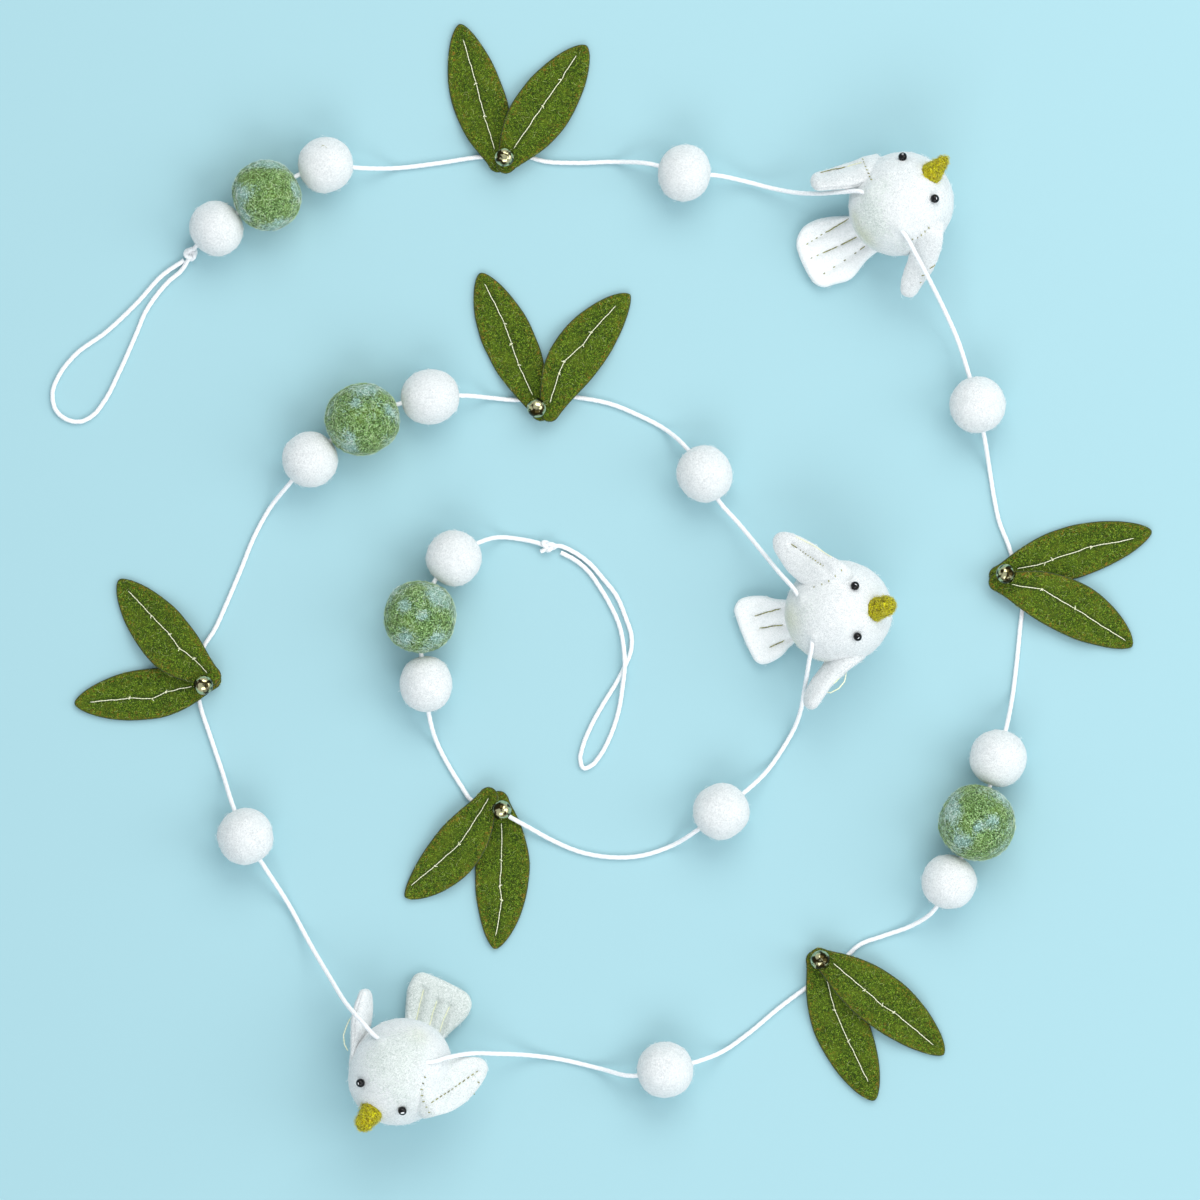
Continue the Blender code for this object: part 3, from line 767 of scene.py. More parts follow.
    def _fibre_tree(self) -> NodeTree:
        """Loose wool fibres on a felt surface, half of them looped and half with a free end.

        Returns:
            The tree.
        """
        work = NodeWork.geometry("fibre_coat", "Density", "Length", "Thickness", "Lift", "Floor",
                                 "Seed")
        given = work.given
        height = work.add("ShaderNodeSeparateXYZ",
                          {0: work.add("GeometryNodeInputPosition").outputs[0]}).outputs[2]
        clear = work.add("FunctionNodeCompare", {0: height, 1: given["Floor"]},
                         data_type="FLOAT", operation="GREATER_THAN").outputs[0]
        spots = work.add("GeometryNodeDistributePointsOnFaces",
                         {"Mesh": given["Geometry"], "Selection": clear,
                          "Density": given["Density"], "Seed": given["Seed"]},
                         distribute_method="RANDOM").outputs
        turn = work.spun(spots["Rotation"], work.chances((-0.3, -0.3, 0.0), (0.3, 0.3, 6.283)))
        size = work.chance(0.55, 1.45)
        chance = work.add("FunctionNodeRandomValue", {"Probability": 0.5, "Seed": given["Seed"]},
                          data_type="BOOLEAN").outputs[3]
        other = work.add("FunctionNodeBooleanMath", {0: chance}, operation="NOT").outputs[0]
        half = work.sum("MULTIPLY", given["Length"], 0.5)
        back = work.sum("MULTIPLY", half, -1.0)
        sunk = work.sum("MULTIPLY", given["Length"], -0.06)
        raised = work.sum("MULTIPLY", given["Length"], given["Lift"])
        ring = work.circle(3, given["Thickness"])
        coats = work.add("GeometryNodeJoinGeometry")
        for picked, rise, bow in ((chance, sunk, 0.7), (other, raised, 0.45)):
            line = work.arch(3, work.offset(back, z=sunk),
                             work.offset(y=work.sum("MULTIPLY", given["Length"], bow), z=raised),
                             work.offset(half, z=rise))
            fibre = work.tube(line, ring, self._taper(work, 0.3, 3.0))
            coat = work.add("GeometryNodeInstanceOnPoints",
                            {"Points": spots["Points"], "Selection": picked, "Instance": fibre,
                             "Rotation": turn, "Scale": size}).outputs[0]
            work.tree.links.new(coat, coats.inputs[0])
        toned = work.add("GeometryNodeStoreNamedAttribute",
                         {"Geometry": coats.outputs[0], "Name": "tone",
                          "Value": work.chance(0.0, 1.0)},
                         data_type="FLOAT", domain="INSTANCE").outputs[0]
        return work.ending(toned)


# Finishes


@dataclass(frozen=True)
class Finish:
    """What a piece is made of. Each kind builds its own node material, once."""

    name: str
    slot: Slot

    def material(self) -> bpy.types.Material:
        """The finish's material, made the first time it is asked for.

        Returns:
            The material.
        """
        made = bpy.data.materials.get(self.name)
        if made is None:
            made = bpy.data.materials.new(self.name)
            made.use_nodes = True
            work = NodeWork(made.node_tree)
            self.paint(work, made.node_tree.nodes["Principled BSDF"])
        return made

    def paint(self, work: NodeWork, shader: Node) -> None:
        """Add the finish's own nodes to its material."""
        raise NotImplementedError


# Shares of the three fibre patterns in felt, and how far curls count in its relief
CURL_SHARE = 0.16
FINE_SHARE = 0.72
SPECK_SHARE = 0.2
CURL_RELIEF = 0.35


@dataclass(frozen=True)
class FeltFinish(Finish):
    """Matted wool: curly fine fibres over slow changes of tone, with a soft sheen."""

    tones: tuple[Colour, ...]
    stops: tuple[float, ...]
    grain: float
    cloud: float
    cloud_tone: Colour
    cloud_share: float
    relief: float
    sheen: float = 0.3
    edge_tone: Colour | None = None
    patch_tones: tuple[Colour, ...] = ()
    # a yellow-green painted reflection, multiplied in where a piece stores it
    painted_reflection: Colour | None = None

    def paint(self, work: NodeWork, shader: Node) -> None:
        """Mix the fibre pattern, the clouds, the cut edge, the pale patches and the painted light and
        shade.

        Args:
            work: the material's nodes.
            shader: its shader.
        """
        place = work.place()
        fine = work.pattern(place, self.grain, 4.0, 1.6, 0.62)
        curls = work.pattern(place, self.grain * 1.9, 2.0, 3.2, 0.5, "RIDGED_MULTIFRACTAL")
        specks = work.pattern(place, self.grain * 0.45, 1.0, 0.6)
        weave = work.sum("MULTIPLY_ADD", curls, CURL_SHARE, work.sum("MULTIPLY", fine, FINE_SHARE))
        weave = work.sum("MULTIPLY_ADD", specks, SPECK_SHARE, weave)
        colour = work.ramp(weave, self.tones, self.stops)
        slow = work.pattern(place, self.cloud, 3.0, 0.8)
        # pale patches: pale wool on the green balls, with painted sheen round their sides; grey on
        # white felt, partly grey wool and partly painted shade
        if self.patch_tones:
            pale = work.ramp(weave, self.patch_tones, self.stops)
            here = work.stored("patch")
            wisps = work.pattern(place, self.grain * 4.0, 3.0, 2.6)
            broken = work.sum("MULTIPLY_ADD", work.sum("SUBTRACT", fine, 0.5), 1.3, here)
            broken = work.sum("MULTIPLY_ADD", work.sum("SUBTRACT", wisps, 0.5), 1.4, broken)
            colour = work.blend(work.step(broken, 0.3, 0.85), colour, pale)
        # painted reflection: a yellow-green cast multiplied in where a body stores it, as at the
        # tail's root
        if self.painted_reflection:
            here = work.stored("painted_reflection")
            colour = work.blend(here, colour, linear(self.painted_reflection), "MULTIPLY")
        cloudy = work.sum("MULTIPLY", work.step(slow, 0.42, 0.72), self.cloud_share)
        colour = work.blend(cloudy, colour, linear(self.cloud_tone))
        if self.edge_tone:
            inward = work.stored("inward")
            ragged = work.sum("MULTIPLY_ADD", work.sum("SUBTRACT", fine, 0.5), 2.2, inward)
            rim = work.sum("SUBTRACT", 1.0, work.step(ragged, 0.2, 1.5))
            colour = work.blend(work.sum("MULTIPLY", rim, 0.6), colour, linear(self.edge_tone))
            motes = work.step(work.pattern(place, 0.9, 2.0, 1.2), 0.57, 0.65)
            near = work.sum("MULTIPLY_ADD", work.step(inward, 5.0, 0.5), 0.65, 0.14)
            colour = work.blend(work.sum("MULTIPLY", motes, near), colour, linear(LEAF_MOTE))
            # painted shade along the cut edge: a thin dark line where the felt's edge turns down
            line = work.sum("SUBTRACT", 1.0, work.step(inward, 0.05, 0.5))
            colour = work.blend(work.sum("MULTIPLY", line, 0.8), colour, linear(LEAF_RIM))
            # painted shade in the vein's groove: the groove darkened toward the darkest tone
            groove = work.stored("groove")
            colour = work.blend(work.sum("MULTIPLY", groove, 0.8), colour, linear(self.tones[0]))
        height = work.sum("MULTIPLY_ADD", curls, CURL_RELIEF, work.sum("ADD", fine, specks))
        work.feed(shader, {"Base Color": colour, "Normal": work.bump(height, 0.55, self.relief),
                           "Roughness": 0.95, "Specular IOR Level": 0.15,
                           "Sheen Weight": self.sheen, "Sheen Roughness": 0.6})


@dataclass(frozen=True)
class FibreFinish(Finish):
    """Single wool fibres, each with its own tone, paler where the wool under them is marked pale,
    which round the green balls' sides is painted sheen.
    """

    tones: tuple[Colour, ...]
    patch_tones: tuple[Colour, ...] = ()

    def paint(self, work: NodeWork, shader: Node) -> None:
        """Colour each fibre by its stored tone.

        Args:
            work: the material's nodes.
            shader: its shader.
        """
        tone = work.stored("tone")
        last = max(1, len(self.tones) - 1)
        stops = [i / last for i in range(len(self.tones))]
        colour = work.ramp(tone, self.tones, stops)
        if self.patch_tones:
            here = work.stored("patch")
            pale = work.ramp(tone, self.patch_tones, stops)
            colour = work.blend(work.step(here, 0.25, 0.7), colour, pale)
        place = work.place()
        along = work.step(work.pattern(place, 0.6), 0.35, 0.65)
        colour = work.blend(work.sum("MULTIPLY", along, 0.12), colour, linear(self.tones[0]))
        work.feed(shader, {"Base Color": colour, "Roughness": 0.85, "Specular IOR Level": 0.2,
                           "Sheen Weight": 0.2})


@dataclass(frozen=True)
class CordFinish(Finish):
    """Waxed white cord: a slight shine and faint grey in a fine pattern."""

    bright: Colour
    shade: Colour

    def paint(self, work: NodeWork, shader: Node) -> None:
        """Fine fibres of faint grey, with a fine bump.

        Args:
            work: the material's nodes.
            shader: its shader.
        """
        place = work.place()
        fine = work.pattern(place, 0.5, 3.0, 1.0)
        colour = work.ramp(fine, (self.shade, self.bright), (0.3, 0.62))
        work.feed(shader, {"Base Color": colour, "Normal": work.bump(fine, 0.3, 0.05),
                           "Roughness": 0.55, "Specular IOR Level": 0.35})


@dataclass(frozen=True)
class ThreadFinish(Finish):
    """Metallic sewing thread."""

    bright: Colour
    dark: Colour

    def paint(self, work: NodeWork, shader: Node) -> None:
        """Foil that catches the light unevenly along the thread.

        Args:
            work: the material's nodes.
            shader: its shader.
        """
        place = work.place()
        glint = work.pattern(place, 0.9, 2.0, 0.4)
        colour = work.ramp(glint, (self.dark, self.bright), (0.3, 0.55))
        work.feed(shader, {"Base Color": colour, "Metallic": 0.05,
                           "Roughness": work.sum("MULTIPLY_ADD", glint, 0.3, 0.22)})


@dataclass(frozen=True)
class BrassFinish(Finish):
    """Polished brass beads with faint handling marks."""

    bright: Colour
    dark: Colour

    def paint(self, work: NodeWork, shader: Node) -> None:
        """Dark and bright zones painted in as reflections, and fine scratches in the gloss.

        Args:
            work: the material's nodes.
            shader: its shader.
        """
        place = work.place()
        # painted reflection: large dark and bright zones, as a mirror-like bead shows
        painted_reflection_zones = work.pattern(place, 2.5, 3.0, 0.6)
        colour = work.ramp(painted_reflection_zones, (self.dark, self.bright), (0.46, 0.56))
        marks = work.pattern(place, 0.35, 3.0, 1.5)
        work.feed(shader, {"Base Color": colour, "Metallic": 1.0,
                           "Roughness": work.sum("MULTIPLY_ADD", marks, 0.1, 0.06)})


@dataclass(frozen=True)
class GlassFinish(Finish):
    """Black glass beads for the eyes."""

    tone: Colour
    dusty: Colour

    def paint(self, work: NodeWork, shader: Node) -> None:
        """Near black and glossy, with faint dust in a fine pattern.

        Args:
            work: the material's nodes.
            shader: its shader.
        """
        place = work.place()
        dust = work.pattern(place, 0.4, 2.0)
        colour = work.ramp(dust, (self.tone, self.dusty), (0.6, 0.9))
        work.feed(shader, {"Base Color": colour, "Roughness": 0.05, "Specular IOR Level": 0.3})


LEAF_MOTE = (142, 104, 34)
# the thin dark line painted along the leaves' cut edges as shade
LEAF_RIM = (34, 58, 44)
WHITE_FELT = FeltFinish(
    "white_wool_felt", Slot.WHITE_FELT,
    tones=((206, 210, 210), (232, 235, 235), (244, 246, 246), (251, 252, 252)),
    stops=(0.4, 0.49, 0.57, 0.68), grain=0.65, cloud=9.0, cloud_tone=(228, 233, 232),
    cloud_share=0.25, relief=0.5,
    # grey tones for the patches, partly grey wool and partly painted shade
    patch_tones=((182, 193, 187), (220, 228, 223), (240, 244, 241), (250, 252, 251)),
    # the colour of the painted reflection at the birds' tail roots
    painted_reflection=(236, 236, 204))
# A lighter copy of the white felt for tails that lie in the body's shade: painted light.
PAINTED_LIGHT_FELT = FeltFinish(
    "painted_light_wool_felt", Slot.WHITE_FELT,
    tones=((230, 234, 233), (248, 250, 250), (253, 254, 254), (254, 254, 254)),
    stops=(0.4, 0.49, 0.57, 0.68), grain=0.65, cloud=9.0, cloud_tone=(240, 244, 243),
    cloud_share=0.2, relief=0.35)
MARBLED_FELT = FeltFinish(
    "marbled_green_wool", Slot.MARBLED_FELT,
    tones=((42, 66, 20), (132, 182, 94), (192, 236, 158), (238, 253, 214)),
    stops=(0.472, 0.522, 0.567, 0.632), grain=0.62, cloud=7.0, cloud_tone=(140, 166, 72),
    cloud_share=0.25, relief=0.7, sheen=0.15,
    patch_tones=((94, 132, 118), (176, 218, 204), (220, 246, 244), (250, 254, 255)))
LEAF_FELT = FeltFinish(
    "olive_leaf_felt", Slot.GREEN_FELT,
    tones=((36, 54, 2), (84, 114, 14), (120, 152, 32), (162, 184, 80)),
    stops=(0.46, 0.515, 0.563, 0.632), grain=0.6, cloud=6.0, cloud_tone=(100, 116, 20),
    cloud_share=0.3, relief=0.6, sheen=0.06, edge_tone=(84, 88, 20))
BEAK_FELT = FeltFinish(
    "mustard_wool", Slot.MUSTARD_FELT,
    tones=((104, 92, 2), (188, 182, 4), (228, 224, 14), (250, 246, 66)),
    stops=(0.44, 0.5, 0.545, 0.62), grain=0.85, cloud=3.0, cloud_tone=(206, 178, 16),
    cloud_share=0.35, relief=0.7, sheen=0.08, painted_reflection=(150, 140, 60))
WHITE_FIBRE = FibreFinish("white_wool_fibres", Slot.WHITE_FELT,
                          tones=((224, 227, 226), (246, 248, 248), (255, 255, 255)))
MARBLED_FIBRE = FibreFinish(
    "marbled_wool_fibres", Slot.MARBLED_FELT,
    tones=((50, 76, 28), (110, 150, 72), (166, 206, 126), (222, 242, 194)),
    patch_tones=((100, 136, 112), (166, 206, 182), (214, 240, 228), (244, 252, 248)))
LEAF_FIBRE = FibreFinish("leaf_wool_fibres", Slot.GREEN_FELT,
                         tones=((30, 46, 4), (76, 100, 22), (128, 150, 52), (190, 202, 120)))
BEAK_FIBRE = FibreFinish("mustard_wool_fibres", Slot.MUSTARD_FELT,
                         tones=((124, 112, 8), (186, 180, 20), (228, 220, 72)))
WHITE_CORD = CordFinish("white_waxed_cord", Slot.WHITE_CORD, (252, 253, 254), (226, 228, 231))
# white thread on the eyes that stands in for their highlights: painted highlight
PAINTED_EYE_HIGHLIGHT = CordFinish("painted_eye_highlight", Slot.WHITE_CORD, (250, 251, 252), (214, 216, 220))
# pale gold: the leaf veins' own colour, and the lit parts of the birds' thread as painted light
PALE_AND_LIT_GOLD = ThreadFinish("pale_and_lit_gold_thread", Slot.GOLD_THREAD, (255, 255, 226), (246, 252, 198))
# darker gold: the shaded parts of the birds' thread as painted shade, and the chaff's own colour
SHADED_GOLD_AND_CHAFF = ThreadFinish("shaded_gold_thread_and_chaff", Slot.GOLD_THREAD, (150, 150, 72), (60, 62, 26))
# bright and dark of the brass's painted reflection zones
BRASS = BrassFinish("polished_brass", Slot.BRASS, (204, 200, 156), (50, 44, 22))
BLACK_GLASS = GlassFinish("black_glass", Slot.BLACK_BEAD, (5, 5, 7), (16, 17, 20))


# Where the pieces lie, millimetres


@dataclass(frozen=True)
class FeltBall:
    """A felted wool ball, bored for the cord, with a small flat spot where it rests."""

    node: str
    x: float
    y: float
    along: float
    across: float
    heading: float
    finish: FeltFinish = WHITE_FELT
    patches: tuple[Place3, ...] = ()
    lumpiness: float = 0.6
    seed: float = 0.0
    drawn_in: Place2 = (0.985, 0.86)
    squareness: float = 2.12
    rings: int = 56
    sides: int = 84

    @property
    def middle(self) -> Vector:
        """The ball's middle, its flat spot on the surface."""
        return Vector((self.x, self.y, self.across * BALL_FLAT))

    def surface(self) -> Mesh:
        """A ball with slow lumps, drawn in where the cord enters.

        Returns:
            The closed mesh, not yet bored.
        """
        shell, faces = round_shell(self.sides, self.rings)
        points = []
        lay = Matrix.Rotation(radians(90.0), 3, "Y")
        turn = Matrix.Rotation(radians(self.heading), 3, "Z")
        for point in shell:
            way = lay @ point
            beside = hypot(way.y, way.z)
            bulge = (abs(way.x) ** self.squareness + beside ** self.squareness) ** (
                -1.0 / self.squareness)
            out = Vector((way.x * self.along, way.y * self.across, way.z * self.across)) * bulge
            free = smooth_step(*self.drawn_in, abs(way.x))
            fall = self.lumpiness * (1.1 * lump(out, self.across * 0.8, self.seed)
                                     + 0.4 * lump(out, self.across * 0.33, self.seed + 5.0) - 0.75)
            fall = fall * free + 0.1 * lump(out, 1.5, self.seed + 9.0)
            out -= way * fall
            out.z = max(out.z, -BALL_FLAT * self.across)
            points.append(self.middle + turn @ out)
        return mesh_of(self.node, points, faces)

    def marble(self, mesh: Mesh) -> None:
        """Store where the pale wool lies, the patches seen from above and others at random, and a
        paler ring round the sides that is painted sheen.

        Args:
            mesh: the ball's mesh, with nothing more to be cut.
        """
        values = []
        for vert in mesh.vertices:
            way = (vert.co / MM - self.middle).normalized()
            value = 0.7 * lump(way, 0.45, self.seed + 3.0) - 0.22
            # painted sheen: paler where the ball turns to the side
            value += 0.3 * smooth_step(0.7, 0.95, hypot(way.x, way.y))
            for right, up, size in self.patches:
                spot = Vector((right, up, sqrt(max(0.0, 1.0 - right ** 2 - up ** 2))))
                value += 0.8 * exp(-((way - spot).length / size) ** 2)
            values.append(value)
        store_field(mesh, "patch", values)

    def build(self, channel: Object) -> Object:
        """Args:
            channel: the cord's way through what is strung on it.

        Returns:
            The ball.
        """
        made = linked(f"{self.node}_wool", self.surface())
        cut_away(made, channel)
        if self.patches:
            self.marble(made.data)
        dress(made, self.finish, [self.node])
        return made


# Balls: node, x, y, half sizes along and across the cord, heading, and on the green ones the
# finish, the pale patches seen from above (right, up and size in shares of the radius) and lumps
BALLS = tuple(
    FeltBall(*row, seed=float(number)) for number, row in enumerate((
        ("white_ball_01", -155.0, 136.8, 10.3, 10.9, 37),
        ("green_ball_1", -135.3, 149.7, 13.0, 13.8, 30, MARBLED_FELT,
         ((0.15, 0.9, 0.3), (-0.72, 0.02, 0.33), (0.3, -0.86, 0.3), (-0.62, -0.6, 0.22),
          (0.85, 0.2, 0.2)), 0.9),
        ("white_ball_02", -112.3, 161.7, 10.8, 10.9, 11),
        ("white_ball_03", 28.1, 158.5, 10.3, 11.2, -10),
        ("white_ball_04", 142.9, 67.8, 11.0, 11.0, -74),
        ("white_ball_05", 151.0, -70.5, 11.1, 11.2, -109),
        ("green_ball_2", 142.5, -95.7, 14.6, 14.9, -112, MARBLED_FELT,
         ((-0.66, 0.3, 0.32), (0.43, 0.08, 0.22), (-0.38, -0.46, 0.26), (0.0, -0.11, 0.13),
          (0.65, 0.7, 0.25)), 0.9),
        ("white_ball_06", 131.7, -118.9, 10.6, 10.8, -115),
        ("white_ball_07", 20.6, -192.5, 11.0, 11.0, -166),
        ("white_ball_08", -143.7, -101.1, 11.0, 11.0, 118),
        ("white_ball_09", -118.4, 46.4, 10.8, 10.9, 42),
        ("green_ball_3", -97.9, 62.1, 14.5, 13.9, 28, MARBLED_FELT,
         ((0.12, 0.8, 0.3), (-0.2, 0.44, 0.14), (-0.34, -0.47, 0.2), (-0.32, -0.77, 0.2),
          (0.73, 0.25, 0.16)), 0.9),
        ("white_ball_10", -71.4, 70.9, 11.5, 10.8, 10),
        ("white_ball_11", 36.1, 40.8, 11.2, 10.7, -59),
        ("white_ball_12", 42.5, -91.3, 11.0, 11.0, -145),
        ("white_ball_13", -73.0, -41.5, 11.0, 10.3, 96),
        ("green_ball_4", -75.3, -15.2, 14.0, 14.0, 78, MARBLED_FELT,
         ((0.45, 0.6, 0.36), (-0.45, 0.3, 0.2), (-0.4, -0.55, 0.24), (0.45, -0.6, 0.24),
          (0.1, 0.05, 0.2)), 0.9),
        ("white_ball_14", -62.1, 7.8, 10.8, 10.9, 46),
    ), start=1)
)


@dataclass(frozen=True)
class LoopKnot:
    """The overhand knot that closes a hanging loop: three crossing turns of the cord."""

    node: str
    x: float
    y: float
    half_length: float
    half_width: float
    half_height: float
    heading: float
    stub: tuple[Place3, ...] = ()
    ring: float = 0.0
    steps: int = 96

    @property
    def middle(self) -> Vector:
        """The knot's middle."""
        return Vector((self.x, self.y, self.half_height * KNOT_FLAT))

    def turns(self) -> list[Vector]:
        """The way of the knotted cord, a closed line that crosses itself three times.

        Returns:
            Points in millimetres.
        """
        turn = Matrix.Rotation(radians(self.heading), 3, "Z")
        radius = CORD_DIAMETER / 2
        points = []
        for i in range(self.steps + 1):
            angle = 2.0 * pi * i / self.steps
            rise = -sin(3.0 * angle) * (self.half_height - radius) * 0.8
            if self.ring:
                inset = 1.0 - self.ring * (0.5 + 0.5 * cos(3.0 * angle))
                local = Vector((inset * cos(2.0 * angle) * (self.half_length - radius),
                                inset * sin(2.0 * angle) * (self.half_width - radius), rise))
            else:
                local = Vector((
                    (sin(angle) + 2.0 * sin(2.0 * angle)) / 3.0 * (self.half_length - radius),
                    (cos(angle) - 2.0 * cos(2.0 * angle)) / 3.0 * (self.half_width - radius),
                    rise))
            points.append(self.middle + turn @ local)
        return points

    def build(self, shop: Workshop) -> Object:
        """Make the knot from the same plied cord.

        Args:
            shop: the node trees.

        Returns:
            The knot.
        """
        lines = [self.turns()]
        if self.stub:
            lines.append([Vector(point) for point in self.stub])
        mesh = shop.grow(f"{self.node}_turns", line_mesh(lines), shop.cord, WHITE_CORD,
                         Radius=CORD_DIAMETER / 2 * MM, Twist=CORD_TWIST)
        return dress(linked(f"{self.node}_turns", mesh), WHITE_CORD, [self.node])


KNOTS = (
    LoopKnot("knot_outer", -165.3, 127.0, 3.1, 2.9, 2.6, 45, ring=0.45),
    LoopKnot("knot_inner", -25.1, 12.5, 3.6, 2.5, 2.3, -18,
             ((-25.4, 12.0, 2.6), (-26.5, 11.2, 2.2), (-27.9, 10.4, 1.5))),
)

# The cord's route from the outer loop's short end to the inner loop's. A name stands for the
# middle of that ball or knot, and a point is x, y and z, without z where the cord lies level.
OUTER_LOOP = (
    (-167.9, 124.5, 1.3), (-175.8, 119.2), (-186.4, 107.8), (-198.5, 96.4), (-210.9, 87.2),
    (-216.6, 80.0), (-219.5, 72.5), (-218.1, 65.7), (-213.8, 62.1), (-208.6, 61.3), (-203.6, 63.8),
    (-199.2, 69.3), (-193.3, 80.8), (-186.4, 96.4), (-183.2, 104.0), (-179.0, 110.4),
    (-173.7, 116.5), (-169.0, 120.5, 1.2), (-166.9, 123.6, 1.9),
)
STRUNG = (
    "knot_outer", "white_ball_01", "green_ball_1", "white_ball_02", (-98.6, 160.5, 8.6),
    (-84.0, 160.7, 1.2), (-67.6, 162.7), (-51.9, 165.0), (-42.5, 165.5), (-33.5, 165.2),
    (-27.5, 163.5), (-14.7, 162.7), (0.5, 163.1, 1.2), (14.5, 162.2, 8.6), "white_ball_03",
    (41.8, 157.5, 8.4), (52.0, 155.4, 4.0), (62.0, 152.8, 5.0), (71.4, 150.9, 10.5),
    (80.9, 150.3, 18.5), (90.0, 150.7, 26.6), (97.2, 150.6, 31.6), (105.2, 142.9, 32.0),
    (113.8, 134.0, 35.6), (118.4, 126.0, 32.4), (123.5, 116.8, 26.0), (129.8, 104.8, 15.5),
    (135.6, 92.0, 8.4), (139.4, 80.0, 9.2), "white_ball_04", (145.6, 55.0, 8.6), (147.7, 43.0, 1.4),
    (149.7, 30.6), (151.4, 22.6), (155.6, 11.6), (158.4, 0.6), (160.6, -9.8), (159.7, -20.0),
    (158.1, -35.9), (156.8, -46.0, 1.4), (154.4, -57.6, 8.6), "white_ball_05", "green_ball_2",
    "white_ball_06", (125.4, -130.6, 8.2), (116.8, -136.4, 2.4), (106.0, -140.3), (96.6, -143.9),
    (90.8, -149.2), (84.6, -154.6), (76.6, -160.1), (66.0, -167.9), (52.6, -179.0),
    (44.6, -184.7, 1.8), (33.2, -189.3, 8.6), "white_ball_07", (7.6, -194.9, 8.6),
    (-4.9, -192.2, 2.2), (-20.6, -188.6), (-33.5, -186.9, 3.4), (-45.1, -186.2, 11.0),
    (-56.6, -185.9, 22.2), (-64.8, -187.2, 30.6), (-71.5, -188.8, 35.4), (-82.0, -185.0, 32.4),
    (-92.3, -179.0, 31.4), (-97.6, -173.4, 28.6), (-103.6, -166.8, 22.6), (-110.7, -156.0, 12.6),
    (-118.4, -143.4, 4.4), (-126.5, -128.6, 2.0), (-136.4, -112.8, 8.4), "white_ball_08",
    (-148.8, -88.6, 8.6), (-152.8, -76.4, 1.4), (-158.2, -60.4), (-161.4, -50.6), (-163.2, -38.0),
    (-160.4, -27.2), (-156.2, -20.6), (-151.3, -10.0), (-146.0, 2.5), (-140.1, 16.9),
    (-134.6, 26.9, 1.4), (-126.6, 36.8, 8.4), "white_ball_09", "green_ball_3", "white_ball_10",
    (-57.6, 71.4, 8.4), (-47.6, 70.6, 1.4), (-38.1, 69.8), (-30.4, 70.6), (-21.9, 71.6),
    (-12.5, 70.6), (-0.6, 68.2), (10.2, 63.8), (20.0, 58.7, 1.4), (29.0, 50.9, 8.2), "white_ball_11",
    (42.1, 29.6, 8.0), (48.6, 22.3, 6.6), (57.8, 11.2, 13.8), (65.4, 1.8, 23.6), (71.9, -6.0, 29.8),
    (76.2, -15.4, 29.6), (77.8, -25.5, 32.0), (76.7, -32.6, 27.0), (75.8, -38.8, 19.8),
    (74.9, -44.6, 12.6), (73.8, -51.4, 7.0), (71.8, -57.6, 3.0), (67.0, -66.4, 1.2),
    (60.6, -75.5, 2.6), (51.6, -84.0, 8.4), "white_ball_12", (32.2, -99.4, 8.4), (22.5, -105.2, 1.4),
    (10.8, -108.9), (-1.0, -109.4), (-12.8, -107.3), (-24.0, -102.6, 1.4), (-33.0, -97.6, 3.0),
    (-38.4, -94.6, 3.4), (-43.8, -91.6, 3.4), (-50.0, -89.4, 3.2), (-55.2, -87.2, 1.6),
    (-59.2, -81.6), (-63.9, -74.1), (-68.6, -65.0, 1.4), (-71.6, -54.8, 8.2), "white_ball_13",
    "green_ball_4", "white_ball_14", (-51.0, 14.4, 8.0), (-43.3, 16.0, 1.6), (-36.0, 15.2),
    (-30.4, 14.1, 1.6), "knot_inner",
)
INNER_LOOP = (
    (-20.8, 12.6, 1.2), (-15.3, 10.3), (-8.8, 5.6), (-3.7, -0.2), (1.4, -6.7), (5.1, -15.3),
    (7.5, -23.4), (7.2, -28.5), (5.0, -34.2), (2.0, -40.2), (-3.7, -49.4), (-8.8, -58.8),
    (-11.7, -66.1), (-12.6, -71.4), (-11.4, -74.6), (-8.4, -73.6), (-4.9, -69.6), (-0.8, -61.8),
    (2.5, -51.6, 1.1), (4.0, -42.0, 2.6), (4.8, -34.4, 3.15), (4.4, -27.4, 2.7), (2.8, -19.0, 1.1),
    (-1.4, -9.6), (-5.4, -3.0), (-8.6, 1.6), (-11.4, 4.5), (-15.6, 7.6), (-20.3, 10.0, 1.2),
)


def line_mesh(lines: Sequence[Sequence[Vector]]) -> Mesh:
    """A mesh of bare edges along lines, for the trees that follow a path.

    Args:
        lines: the points of each line in millimetres.

    Returns:
        The mesh, in metres.
    """
    points = [point * MM for line in lines for point in line]
    edges, first = [], 0
    for line in lines:
        edges += [(first + i, first + i + 1) for i in range(len(line) - 1)]
        first += len(line)
    mesh = bpy.data.meshes.new("lines")
    mesh.from_pydata(points, edges, [])
    return mesh


